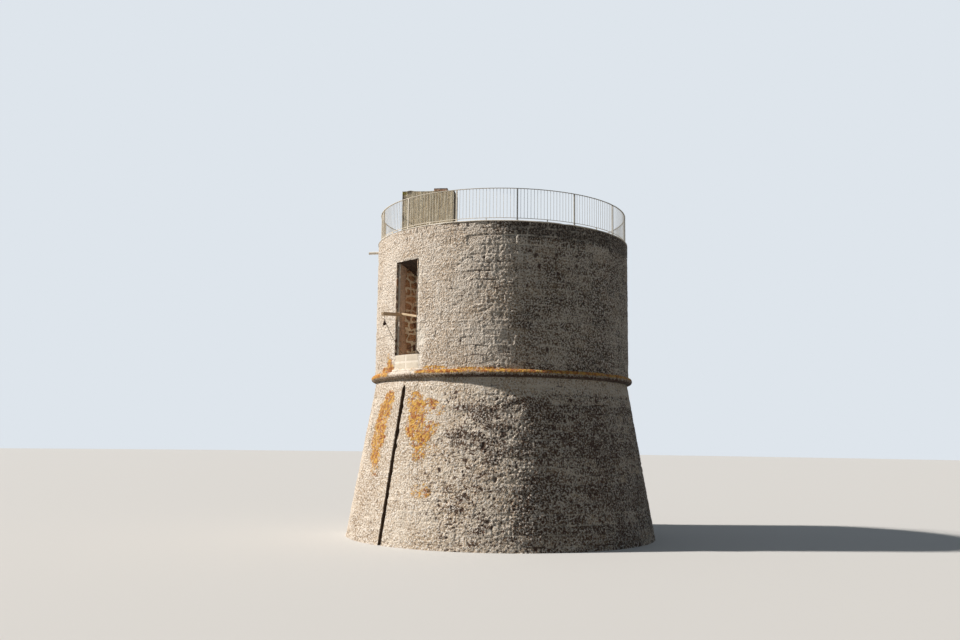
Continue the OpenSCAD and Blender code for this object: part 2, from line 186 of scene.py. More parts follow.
def add_sheet(name, front, back, present=None, closed=False, marks=None):
    """A closed sheet between a grid of front points and the same grid of back points.
    Where present is False it has a hole."""
    nu, nv = front.shape[:2]
    columns = nu if closed else nu - 1
    if present is None:
        present = np.ones((columns, nv - 1), bool)
    f = np.arange(nu * nv).reshape(nu, nv)
    if closed:
        f = np.vstack([f, f[:1]])
    b = f + nu * nv
    edge = np.zeros((columns + 2, nv + 1), bool)
    edge[1:-1, 1:-1] = present
    if closed:
        edge[0], edge[-1] = edge[-2].copy(), edge[1].copy()
    i, j = np.nonzero(present)
    faces = np.stack([f[i, j], f[i + 1, j], f[i + 1, j + 1], f[i, j + 1]], -1).tolist()
    kept = np.zeros((columns + 1, nv), bool)
    for (di, dj), (a, c) in {
        (-1, 0): ((0, 0), (0, 1)),
        (1, 0): ((1, 1), (1, 0)),
        (0, -1): ((1, 0), (0, 0)),
        (0, 1): ((0, 1), (1, 1)),
    }.items():
        open_side = present & ~edge[1 + di:1 + di + columns, 1 + dj:nv + dj]
        i, j = np.nonzero(open_side)
        i1, j1, i2, j2 = i + a[0], j + a[1], i + c[0], j + c[1]
        faces += np.stack([f[i1, j1], f[i2, j2], b[i2, j2], b[i1, j1]], -1).tolist()
        if di:
            kept[i1, j1] = kept[i2, j2] = True
    runs = []
    for i in range(columns):
        ends = np.flatnonzero(np.diff(np.concatenate([[False], present[i], [False]]).astype(int)))
        for low, high in zip(ends[::2], ends[1::2]):
            runs.append((i, low, high))
            kept[i, [low, high]] = kept[i + 1, [low, high]] = True
    if closed:
        kept[0] |= kept[-1]
        kept[-1] = kept[0]
    for i, low, high in runs:
        up = [b[i, j] for j in range(low, high + 1) if kept[i, j]]
        down = [b[i + 1, j] for j in range(high, low - 1, -1) if kept[i + 1, j]]
        faces.append([int(v) for v in up + down])
    points = np.concatenate([front.reshape(-1, 3), back.reshape(-1, 3)])
    both = {k: np.concatenate([v.reshape(-1, 3)] * 2) for k, v in (marks or {}).items()}
    return add_piece(name, points, faces, both)


print("pieces go to the body", TOWER)

# %% [markdown]
# The cordon, the coping and the rope's knots are rings. The blocks, the timbers and
# the rope are bars.

# %% Rings and bars
def add_ring(name, grid, marks=None):
    """A closed ring from a grid that closes both ways."""
    nu, nv = grid.shape[:2]
    f = np.arange(nu * nv).reshape(nu, nv)
    right, up = np.roll(f, -1, 0), np.roll(f, -1, 1)
    faces = np.stack([f, right, np.roll(right, -1, 1), up], -1).reshape(-1, 4).tolist()
    flat = {label: values.reshape(-1, 3) for label, values in (marks or {}).items()}
    return add_piece(name, grid.reshape(-1, 3), faces, flat)


def add_bar(name, grid, marks=None, sharp=40):
    """A bar from a grid of rings along its length, closed by a face at each end."""
    nu, nv = grid.shape[:2]
    f = np.arange(nu * nv).reshape(nu, nv)
    up = np.roll(f, -1, 1)
    faces = np.stack([f[:-1], up[:-1], up[1:], f[1:]], -1).reshape(-1, 4).tolist()
    faces += [f[0, ::-1].tolist(), f[-1].tolist()]
    flat = {label: values.reshape(-1, 3) for label, values in (marks or {}).items()}
    return add_piece(name, grid.reshape(-1, 3), faces, flat, sharp)


def tell(label, *starts):
    """Prints how many faces the pieces with these names have."""
    print(label + ":", sum(len(p.data.polygons) for p in made if p.name.startswith(starts)), "faces")


# %% [markdown]
# ## Hoist rope
# A laid rope is three strands that turn round each other. It is modelled as one tube
# whose section has three lobes, and the section turns as it goes along the route.
# The rope leaves the eye in the sill, sags a little, goes over the sheave and ends
# in a stopper knot.

# %% Lay the rope along its route
ROPE_D = 0.018
ROPE_STEP = 0.0035
rope_route = [
    (-0.220, -4.893, 6.475), (-0.220, -4.893, 6.505), (-0.220, -4.893, 6.540), (-0.220, -4.877, 6.577),
    (-0.220, -4.840, 6.593), (-0.220, -4.798, 6.572), (-0.216, -4.758, 6.508), (-0.206, -4.690, 6.390),
    (-0.192, -4.600, 6.235), (-0.176, -4.500, 6.080), (-0.160, -4.400, 5.935), (-0.144, -4.300, 5.800),
    (-0.130, -4.222, 5.702), (-0.122, -4.165, 5.662), (-0.114, -4.110, 5.648), (-0.104, -4.020, 5.646),
    (-0.092, -3.900, 5.646), (-0.084, -3.820, 5.650), (-0.076, -3.740, 5.663), (-0.073, -3.705, 5.664),
][::-1]


def curve_through(route, step):
    """Points every step metres along a smooth curve through the route."""
    r = np.array(route, float)
    r = np.vstack([2 * r[0] - r[1], r, 2 * r[-1] - r[-2]])
    fine = []
    for a, b, c, d in zip(r[:-3], r[1:-2], r[2:-1], r[3:]):
        for t in np.linspace(0, 1, 24, endpoint=False):
            square, cube = 2 * a - 5 * b + 4 * c - d, 3 * b - a - 3 * c + d
            fine.append(0.5 * (2 * b + (c - a) * t + square * t**2 + cube * t**3))
    fine = np.array(fine + [r[-2]])
    along = np.concatenate([[0], np.cumsum(np.linalg.norm(np.diff(fine, axis=0), axis=1))])
    at = np.linspace(0, along[-1], int(along[-1] / step) + 1)
    return np.stack([np.interp(at, along, fine[:, k]) for k in range(3)], -1), along[-1]


def laid_tube(path, diameter, sides=24, lay=0.062):
    """Rings of a three-lobed section that turns along the path."""
    ahead = np.gradient(path, axis=0)
    ahead /= np.linalg.norm(ahead, axis=1)[:, None]
    side = np.cross(ahead, [1.0, 0.0, 0.0])
    side /= np.linalg.norm(side, axis=1)[:, None]
    other = np.cross(ahead, side)
    along = np.concatenate([[0], np.cumsum(np.linalg.norm(np.diff(path, axis=0), axis=1))])
    angle = np.linspace(0, 2 * math.pi, sides, endpoint=False)
    turn = angle[None, :] - 2 * math.pi * along[:, None] / lay
    lobe = np.abs(np.cos(1.5 * turn)) ** 0.7
    radius = diameter / 2 * (0.74 + 0.26 * lobe)
    return path[:, None] + radius[..., None] * (
        np.cos(angle)[None, :, None] * side[:, None] + np.sin(angle)[None, :, None] * other[:, None]
    )


rope_path, rope_length = curve_through(rope_route, ROPE_STEP)
rope = add_bar("hoist_rope_laid", laid_tube(rope_path, ROPE_D), sharp=180)
print("rope:", round(rope_length, 3), "metres,", len(rope.data.polygons), "faces")

# %% [markdown]
# Each end is stopped with a tight overhand knot. A trefoil is that knot's own
# shape, so the same laid tube follows a small trefoil.

# %% Tie the two stopper knots
KNOT_SIZE, KNOT_R = 0.0041, 0.0082


def stopper_knot(name, centre, axis):
    """A laid tube that follows a small trefoil, with the knot's own axis along the rope."""
    t = np.linspace(0, 2 * math.pi, 160, endpoint=False)
    knot = vector(np.sin(t) + 2 * np.sin(2 * t), np.cos(t) - 2 * np.cos(2 * t), -1.3 * np.sin(3 * t))
    knot *= KNOT_SIZE
    turn = np.array(Vector((0, 0, 1)).rotation_difference(Vector(axis)).to_matrix())
    knot = knot @ turn.T + np.array(centre)
    ahead = np.roll(knot, -1, 0) - np.roll(knot, 1, 0)
    ahead /= np.linalg.norm(ahead, axis=1)[:, None]
    middle = knot - np.array(centre)
    side = np.cross(ahead, middle)
    side /= np.linalg.norm(side, axis=1)[:, None]
    other = np.cross(ahead, side)
    angle = np.linspace(0, 2 * math.pi, 18, endpoint=False)
    lobe = np.abs(np.cos(1.5 * (angle[None] - t[:, None] * 3))) ** 0.7
    radius = KNOT_R * (0.8 + 0.2 * lobe)
    grid = knot[:, None] + radius[..., None] * (
        np.cos(angle)[None, :, None] * side[:, None] + np.sin(angle)[None, :, None] * other[:, None]
    )
    return add_ring(name, grid)


sill_knot = stopper_knot("rope_knot_sill", (-0.073, -3.687, 5.664), (0, 1, 0))
pulley_knot = stopper_knot("rope_knot_pulley", (-0.220, -4.893, 6.457), (0, 0, 1))
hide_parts("hoist_rope")

# %% [markdown]
# ## Finishes
# Colours are written as they look in daylight, from 0 to 255, and turned into the
# linear values that the shader wants. A short helper adds a node and fills its inputs.

# %% Node helpers
def paint(r, g, b):
    """A screen colour as a linear colour."""
    screen = [v / 255 for v in (r, g, b)]
    return tuple(v / 12.92 if v <= 0.04045 else ((v + 0.055) / 1.055) ** 2.4 for v in screen) + (1.0,)


def add(tree, kind, inputs=None, **settings):
    """Adds a node. An input is a value, or a socket to link from."""
    made_node = tree.nodes.new("ShaderNode" + kind)
    for key, value in settings.items():
        setattr(made_node, key, value)
    for key, value in (inputs or {}).items():
        if isinstance(value, bpy.types.NodeSocket):
            tree.links.new(value, made_node.inputs[key])
        else:
            made_node.inputs[key].default_value = value
    return made_node


def calc(tree, operation, a, b=0.0, c=0.0, clamp=False):
    """One step of arithmetic. The four helpers after it are its commonest forms."""
    return add(tree, "Math", {0: a, 1: b, 2: c}, operation=operation, use_clamp=clamp).outputs[0]


def times(tree, a, b):
    return calc(tree, "MULTIPLY", a, b)


def plus(tree, a, b):
    return calc(tree, "ADD", a, b)


def minus(tree, a, b):
    return calc(tree, "SUBTRACT", a, b)


def times_plus(tree, a, b, c):
    """a times b, plus c."""
    return calc(tree, "MULTIPLY_ADD", a, b, c)


def noise_at(tree, place, scale, detail, roughness=0.5):
    """Soft noise about 0.5."""
    inputs = {"Vector": place, "Scale": scale, "Detail": detail, "Roughness": roughness}
    return add(tree, "TexNoise", inputs).outputs["Fac"]


def step_between(tree, value, low, high):
    """0 at low, 1 at high; low may be the larger one."""
    return add(tree, "MapRange", {"Value": value, "From Min": low, "From Max": high},
               interpolation_type="SMOOTHSTEP").outputs["Result"]


def layer(tree, mask, under, over, mode="MIX"):
    """One colour over another, where the mask is 1."""
    return add(tree, "Mix", {0: mask, 6: under, 7: over}, data_type="RGBA", blend_type=mode).outputs[2]


def tint(tree, colour, mask, amount, over):
    """A screen colour over another colour: as much of it as the amount says, where the mask is 1."""
    return layer(tree, times(tree, mask, amount), colour, paint(*over))


def marks_of(tree, label):
    """The three numbers that the mesh holds for each point under that label."""
    mark = add(tree, "Attribute", attribute_name=label).outputs["Vector"]
    return add(tree, "SeparateXYZ", {0: mark}).outputs


print("white on the screen is", paint(255, 255, 255)[:3])

# %% [markdown]
# A node group is made once and placed in many materials. Every material starts from
# the same shader and the same place in metres.

# %% Groups and materials
def new_group(name, inputs, outputs):
    """A shader node group with named number and vector sockets."""
    group = bpy.data.node_groups.new(name, "ShaderNodeTree")
    for label, value in inputs.items():
        kind = "NodeSocketVector" if value is None else "NodeSocketFloat"
        socket = group.interface.new_socket(label, in_out="INPUT", socket_type=kind)
        if value is not None:
            socket.default_value = value
    for label in outputs:
        group.interface.new_socket(label, in_out="OUTPUT", socket_type="NodeSocketFloat")
    return group, group.nodes.new("NodeGroupInput").outputs, group.nodes.new("NodeGroupOutput").inputs


def use(tree, group, inputs):
    """Places a group in a tree and gives its outputs."""
    placed = tree.nodes.new("ShaderNodeGroup")
    placed.node_tree = group
    for key, value in inputs.items():
        if isinstance(value, bpy.types.NodeSocket):
            tree.links.new(value, placed.inputs[key])
        else:
            placed.inputs[key].default_value = value
    return placed.outputs


def new_material(name, roughness=0.9, metallic=0.0):
    """A material with a Principled shader, and a position in metres to hang patterns on."""
    material = bpy.data.materials.new(name)
    material.use_nodes = True
    tree = material.node_tree
    shader = tree.nodes["Principled BSDF"]
    shader.inputs["Roughness"].default_value = roughness
    shader.inputs["Metallic"].default_value = metallic
    place = add(tree, "TexCoord").outputs["Object"]
    return material, tree, shader, place


def finish(tree, shader, colour, height, reach, roughness=None):
    """Puts the colour and the bump on the shader. Reach is the height of the bump in metres."""
    tree.links.new(colour, shader.inputs["Base Color"])
    if roughness is not None:
        tree.links.new(roughness, shader.inputs["Roughness"])
    bump = add(tree, "Bump", {"Height": height, "Distance": reach, "Strength": 1.0})
    tree.links.new(bump.outputs["Normal"], shader.inputs["Normal"])


# %% [markdown]
# Four effects come back on many surfaces, so each is a node group: the grain of
# stone, small holes, growth with a ragged edge, and long streaks that water leaves.

# %% Shared effects
stone_grain, gi, go = new_group("stone_grain", {"Place": None, "Scale": 8.0}, ["Shade", "Height"])
tree = stone_grain
coarse = noise_at(tree, gi["Place"], scale=gi["Scale"], detail=6.0, roughness=0.62)
fine_scale = times(tree, gi["Scale"], 6.0)
fine = noise_at(tree, gi["Place"], scale=fine_scale, detail=3.0, roughness=0.7)
mixed = plus(tree, times(tree, coarse, 0.62), times(tree, fine, 0.38))
tree.links.new(step_between(tree, mixed, low=0.3, high=0.7), go["Shade"])
tree.links.new(mixed, go["Height"])

small_holes, gi, go = new_group("small_holes", {"Place": None, "Scale": 20.0, "Amount": 0.5}, ["Hole"])
tree = small_holes
wander_scale = times(tree, gi["Scale"], 1.7)
wander = add(tree, "TexNoise", {"Vector": gi["Place"], "Scale": wander_scale, "Detail": 2.0}).outputs["Color"]
shifted = add(tree, "VectorMath", {0: wander, 1: (0.5, 0.5, 0.5)}, operation="SUBTRACT").outputs[0]
one_cell = calc(tree, "DIVIDE", 0.9, gi["Scale"])
scaled = add(tree, "VectorMath", {0: shifted, 3: one_cell}, operation="SCALE").outputs[0]
place = add(tree, "VectorMath", {0: gi["Place"], 1: scaled}, operation="ADD").outputs[0]
cells = add(tree, "TexVoronoi", {"Vector": place, "Scale": gi["Scale"]})
lucky = add(tree, "SeparateColor", {0: cells.outputs["Color"]}).outputs[0]
reach = times(tree, minus(tree, gi["Amount"], lucky), 1.1)
inside = minus(tree, reach, cells.outputs["Distance"])
tree.links.new(step_between(tree, inside, low=0.0, high=0.22), go["Hole"])

growth_inputs = {"Place": None, "Amount": 0.5, "Scale": 10.0, "Edge": 8.0}
ragged_growth, gi, go = new_group("ragged_growth", growth_inputs, ["Mask"])
tree = ragged_growth
noise = noise_at(tree, gi["Place"], scale=gi["Scale"], detail=5.0, roughness=0.68)
over = minus(tree, plus(tree, noise, gi["Amount"]), 1.0)
tree.links.new(calc(tree, "MULTIPLY", over, gi["Edge"], clamp=True), go["Mask"])

water_streaks, gi, go = new_group("water_streaks", {"Place": None, "Scale": 9.0, "Stretch": 0.06}, ["Streak"])
tree = water_streaks
squash = add(tree, "CombineXYZ", {"X": 1.0, "Y": 1.0, "Z": gi["Stretch"]}).outputs[0]
drawn = add(tree, "VectorMath", {0: gi["Place"], 1: squash}, operation="MULTIPLY").outputs[0]
noise = noise_at(tree, drawn, scale=gi["Scale"], detail=4.0, roughness=0.6)
tree.links.new(step_between(tree, noise, low=0.35, high=0.65), go["Streak"])


def grain_at(tree, place, scale):
    return use(tree, stone_grain, {"Place": place, "Scale": scale})


def holes_at(tree, place, scale, amount):
    return use(tree, small_holes, {"Place": place, "Scale": scale, "Amount": amount})["Hole"]


def growth_at(tree, place, amount, scale, edge):
    inputs = {"Place": place, "Amount": amount, "Scale": scale, "Edge": edge}
    return use(tree, ragged_growth, inputs)["Mask"]


def streaks_at(tree, place, scale, stretch):
    return use(tree, water_streaks, {"Place": place, "Scale": scale, "Stretch": stretch})["Streak"]


print("groups:", [g.name for g in bpy.data.node_groups])

# %% [markdown]
# ## Weathered rubble
# The facing is laid in rough courses, but sun, salt and wind have eaten stone and
# mortar alike. The mesh knows where each stone, joint, pit and growth is and hands
# that to the material as two vectors for each point: wear (stone tone, distance to
# the joint, pit) and growth (orange lichen, dark crust, fresh mortar). The tone
# holds painted light on the sunlit front, and the tone and the crust hold painted
# shade on the shaded side, next to the real weathering.

# %% The facing material
def rubble_material(
    name, light, dark, mortar, crust=(48, 41, 35), young=(96, 66, 46), pointing=0.55, always=0.08,
    feature=0.048, hollows=0.14, reach=0.030, calm=1.0, knobs=0.9,
):
    """Pointing is how much of the joints shows mortar in places, and always how much everywhere.
    Feature is the width in metres of the knobs and the specks, hollows the share of small holes,
    calm the share of the relief that is left where there is no crust, and knobs how pale the knobs are."""
    material, tree, shader, place = new_material(name, roughness=0.93)
    tone, joint, pit = marks_of(tree, "wear")[:3]
    # the crust mark holds real crust and, on the shaded side, painted shade
    orange, crust_and_shade, fresh = marks_of(tree, "growth")[:3]
    grain = grain_at(tree, place, scale=9.0)
    broad = noise_at(tree, place, scale=0.8, detail=3.0)
    mixed = plus(tree, times(tree, tone, 0.40), times(tree, grain["Shade"], 0.60))
    colour = layer(tree, mixed, paint(*dark), paint(*light))
    greyer = step_between(tree, broad, low=0.62, high=0.38)
    colour = layer(tree, greyer, colour, paint(232, 224, 214), "MULTIPLY")
    # where the crust mark is high the stone is multiplied darker, and only the knobs stay pale;
    # the mark is highest on the shaded side, so this is partly patina and partly painted shade
    patina_and_shade = times(tree, step_between(tree, crust_and_shade, low=0.50, high=0.84), 0.95)
    colour = layer(tree, patina_and_shade, colour, paint(140, 124, 108), "MULTIPLY")
    # knobs as wide as a fist, with dirt in the valleys between them
    knob = noise_at(tree, place, scale=1.0 / feature, detail=2.0, roughness=0.6)
    sunk = step_between(tree, knob, low=0.415, high=0.372)
    colour = tint(tree, colour, sunk, times_plus(tree, crust_and_shade, 0.25, 0.47), (76, 48, 31))
    colour = tint(tree, colour, step_between(tree, knob, low=0.50, high=0.57), knobs, (255, 248, 238))
    # near black where the crust mark is highest, mostly on the shaded side: partly crust, partly painted
    # shade
    soot_and_shade = times(tree, step_between(tree, crust_and_shade, low=0.86, high=1.0), 0.55)
    colour = layer(tree, soot_and_shade, colour, paint(128, 116, 104), "MULTIPLY")
    # mortar shows pale and ragged along some of the joints, and is gone elsewhere
    loose = noise_at(tree, place, scale=11.0, detail=4.0)
    near = step_between(tree, plus(tree, joint, times(tree, loose, 0.02)), low=0.036, high=0.022)
    area = noise_at(tree, place, scale=1.6, detail=2.0)
    shown = times_plus(tree, step_between(tree, area, low=0.45, high=0.62), pointing, always)
    colour = layer(tree, times(tree, near, shown), colour, paint(*mortar))
    # small holes, dark inside, and the pits of the mesh
    holes = holes_at(tree, place, scale=1.1 / feature, amount=times_plus(tree, crust_and_shade, 0.12, hollows))
    holes_fine = holes_at(tree, place, scale=40.0, amount=0.38)
    holes = calc(tree, "MULTIPLY", holes, calc(tree, "SUBTRACT", 1.0, fresh, clamp=True))
    dark_holes = times(tree, holes, 0.82)
    dark_pits = times(tree, step_between(tree, pit, low=0.19, high=0.46), 0.92)
    hollow = calc(tree, "MAXIMUM", dark_holes, dark_pits)
    hollow = calc(tree, "MAXIMUM", hollow, times(tree, holes_fine, 0.35))
    colour = layer(tree, hollow, colour, paint(72, 45, 30))
    # dark crust of lichen and salt: it starts in the valleys, in specks, and never closes;
    # it is heavier on the shaded side, partly as painted shade
    own = noise_at(tree, place, scale=1.05 / feature, detail=3.0, roughness=0.70)
    dirt = times_plus(tree, own, 0.95, times_plus(tree, knob, -0.70, 0.340))
    dirt = plus(tree, dirt, times_plus(tree, crust_and_shade, 0.27, -0.74))
    specks = calc(tree, "MULTIPLY", dirt, 20.0, clamp=True)
    # thin crust is brown, old crust nearly black; the crust mark is oldest on the shaded side,
    # so the near black there is partly painted shade
    aged = layer(tree, step_between(tree, crust_and_shade, low=0.58, high=0.86), paint(*young), paint(*crust))
    colour = layer(tree, times(tree, specks, 0.90), colour, aged)
    # fresh mortar and repair patches
    repair = layer(tree, grain["Shade"], paint(236, 225, 208), paint(255, 250, 240))
    colour = layer(tree, fresh, colour, repair)
    # orange lichen, yellow where it thins out
    lichen = growth_at(tree, place, amount=orange, scale=22.0, edge=9.0)
    hue = layer(tree, step_between(tree, loose, low=0.40, high=0.60), paint(172, 94, 26), paint(234, 182, 76))
    cover = times_plus(tree, hollow, -0.65, 0.93)
    colour = layer(tree, times(tree, lichen, cover), colour, hue)
    # wider knobs stand out further, and fresh mortar covers them
    stand = 44.0 * feature
    relief = times_plus(tree, crust_and_shade, stand * (1.15 - calm), stand * calm)
    relief = times(tree, relief, times_plus(tree, fresh, -0.7, 1.0))
    knobby = times(tree, knob, relief)
    height = plus(tree, times(tree, grain["Height"], 0.8), knobby)
    for mask, deep in ((holes, 0.8), (holes_fine, 0.3), (specks, 0.3)):
        height = minus(tree, height, times(tree, mask, deep))
    for mask, thick in ((near, 0.12), (lichen, 0.15)):
        height = plus(tree, height, times(tree, mask, thick))
    finish(tree, shader, colour, height, reach=reach)
    return material


drum_stone = rubble_material(
    "drum_rubble", light=(255, 242, 225), dark=(218, 202, 182), mortar=(255, 244, 228), hollows=0.22,
    reach=0.040,
)
base_stone = rubble_material(
    "base_rubble", light=(255, 242, 222), dark=(202, 182, 158), mortar=(250, 238, 220), crust=(70, 44, 32),
    young=(112, 60, 36), pointing=0.8, feature=0.050, hollows=0.24, reach=0.050, calm=0.50,
)
cordon_stone = rubble_material(
    "cordon_blocks", light=(214, 192, 166), dark=(142, 120, 96), mortar=(218, 204, 184), crust=(72, 44, 30),
    knobs=0.5,
)
print("facing materials:", drum_stone.name, base_stone.name, cordon_stone.name)

# %% [markdown]
# ## Laying the stones
# Masonry isn't noise: stones lie in courses, and joints break from course to course.
# The layout is drawn once for the whole ring, so it runs on from sheet to sheet.

# %% Courses and joints
DRUM_R, BASE_MID_R = 4.200, 4.6


def lay_courses(low, high, around, tall, long, seed):
    """Heights of the courses, and for each course the ends of its stones and where it starts.
    Tall and long are the least and the greatest size of a stone."""
    rng = np.random.default_rng(seed)
    levels = [low]
    while levels[-1] < high:
        levels.append(levels[-1] + rng.uniform(*tall))
    ends = []
    for _ in levels:
        cuts = np.concatenate([[0.0], np.cumsum(rng.uniform(*long, int(around / long[0])))])
        cuts = cuts[:np.searchsorted(cuts, around) + 1]
        ends.append((cuts * around / cuts[-1], rng.uniform(0, around)))
    return np.array(levels), ends, around


def find_stones(layout, s, z, corner=0.045):
    """For each point: its stone's number, how far it is from the joint (up to the corner
    radius), and a slight lean of the stone's face."""
    levels, ends, around = layout
    row = np.clip(np.searchsorted(levels, z) - 1, 0, len(levels) - 2)
    flat = np.minimum(z - levels[row], levels[row + 1] - z)
    side, number, across = np.empty_like(s), np.empty(s.shape, np.int64), np.empty_like(s)
    for r in np.unique(row):
        here = row == r
        cuts, shift = ends[r]
        at = (s[here] - shift) % around
        k = np.clip(np.searchsorted(cuts, at, side="right") - 1, 0, len(cuts) - 2)
        side[here] = np.minimum(at - cuts[k], cuts[k + 1] - at)
        across[here] = at - (cuts[k] + cuts[k + 1]) / 2
        number[here] = r * 1000 + k
    inside = np.hypot(np.maximum(corner - flat, 0), np.maximum(corner - side, 0))
    up = z - (levels[row] + levels[row + 1]) / 2
    lean = (stone_chance(number, 71) - 0.5) * across + 1.6 * (stone_chance(number, 72) - 0.5) * up
    return number, corner - inside, lean


def stone_chance(number, seed):
    """A number from 0 to 1 for each stone."""
    return chance(vector(number, number // 7, number * 3), seed)


def find_wavy_stones(layout, p, s, z, seed):
    """Finds stones whose joints wander by about two centimetres."""
    return find_stones(layout, s + 0.022 * rough(p, 0.30, seed), z + 0.020 * rough(p, 0.45, seed + 4))


drum_courses = lay_courses(5.10, 9.60, 2 * math.pi * DRUM_R, tall=(0.21, 0.30), long=(0.32, 0.72), seed=3)
base_courses = lay_courses(
    -0.10, 4.95, 2 * math.pi * BASE_MID_R, tall=(0.22, 0.32), long=(0.34, 0.75), seed=8,
)
print("courses:", len(drum_courses[0]) - 1, "in the drum,", len(base_courses[0]) - 1, "in the base")

# %% [markdown]
# ## Where weather and growth are
# The side away from the sun and towards the sea is rougher, and darker partly from weather and
# partly as painted shade. Orange lichen runs down the base on both sides of the chase.
# Directions are degrees from the doorway, positive to its right.

# %% Maps of weather and growth
def turn_to(az, middle):
    """Signed difference between two directions, in degrees."""
    return (az - middle + 180.0) % 360.0 - 180.0


def spot(az, z, at, wide, high, level):
    """A soft oval patch: 1 at the middle, 0 outside."""
    far = np.hypot(turn_to(az, at) / wide, (z - level) / high)
    return fall(far, 0.45, 1.25)


def sea_and_shade_side(az):
    """1 towards the sea, to the right of the doorway, the side that lies in shade. The darkening laid by it
    is partly weather and partly painted shade.
    """
    return smooth(0.5 + 0.5 * np.cos(np.radians(turn_to(az, 112.0))), 0.45, 0.85)


def sun_side(az):
    """1 where the sun stands for most of the day, left of the doorway and behind it."""
    return fall(np.abs(turn_to(az, -108.0)), 50.0, 74.0)


# direction, height, half width, half height, strength
BASE_LICHEN = [
    (-9.4, 4.35, 6.4, 0.34, 0.62), (-11.6, 3.95, 8.4, 0.48, 0.67), (-13.2, 3.50, 8.8, 0.52, 0.67),
    (-13.6, 3.04, 8.6, 0.52, 0.66), (-12.8, 2.58, 6.8, 0.48, 0.63), (-11.6, 2.14, 4.8, 0.38, 0.57),
    (7.4, 4.28, 6.6, 0.34, 0.60), (9.4, 4.02, 7.0, 0.42, 0.67), (15.0, 4.05, 6.6, 0.36, 0.63),
    (20.0, 3.92, 4.8, 0.26, 0.54), (10.6, 3.72, 7.0, 0.46, 0.67), (10.2, 3.38, 8.0, 0.42, 0.67),
    (16.6, 3.40, 6.6, 0.32, 0.64), (12.2, 3.05, 6.8, 0.44, 0.66),
    (12.8, 2.68, 5.0, 0.38, 0.61), (18.0, 2.80, 5.6, 0.28, 0.50), (15.4, 1.60, 6.6, 0.36, 0.55),
    (-96.0, 3.2, 8.0, 0.9, 0.60), (-141.0, 3.7, 6.0, 0.7, 0.58),
]
DRUM_LICHEN = [
    (-12.6, 5.62, 2.2, 0.20, 0.58), (-11.6, 5.42, 3.4, 0.24, 0.66), (-10.6, 5.24, 4.2, 0.24, 0.74),
    (-15.0, 5.20, 6.0, 0.16, 0.66), (16.0, 5.19, 9.0, 0.11, 0.60), (36.0, 5.16, 17.0, 0.07, 0.62),
    (-100.0, 5.3, 14.0, 0.25, 0.60), (-150.0, 5.3, 10.0, 0.2, 0.55),
]


def patches(az, z, table):
    """How strong the growth is at each point, from a list of oval patches."""
    total = np.zeros(az.shape)
    for at, level, wide, high, strength in table:
        total = np.maximum(total, strength * spot(az, z, at=at, wide=wide, high=high, level=level))
    return total


def three_pits(q, worn, shares, seed):
    """Large, middling and small pits, each in its own share of the cells."""
    sizes = (0.16, 0.085, 0.055)
    large, mid, small = [pits(q, sizes[k], shares[k], seed + 10 * k) for k in range(3)]
    return large**0.8 * worn, mid**0.8 * worn, small * worn


def thin_lines(p, gap, az, start, seed):
    """Thin lines of old mortar in some of the joints, from that direction to the right."""
    return fall(gap, 0.012, 0.032) * smooth(rough(p, 0.34, seed), 0.0, 0.35) * smooth(az, start, 45.0)


print("lichen patches:", len(BASE_LICHEN), "on the base,", len(DRUM_LICHEN), "on the drum")

# %% [markdown]
# ## Drum facing
# Eight sheets stand round the drum, 45 degrees each. The one with the doorway has
# grid lines at the edges of the opening and of the new blocks, so its holes are exact.
# The edges of the opening are ragged, and its lower right corner is broken off.

# %% Relief of the drum
DRUM_CORE = 4.176
MOST_IN, MOST_OUT = -0.0215, 0.016
WALL_LOW, WALL_HIGH = 5.135, 9.529
SILL, DOOR_TOP, DOOR_SIDE = 5.636, 8.556, 0.510
CHIP = 0.125


def on_wall(r, az, z):
    """The point at that radius, direction and height."""
    a = np.radians(az)
    return vector(r * np.sin(a), -r * np.cos(a), z)


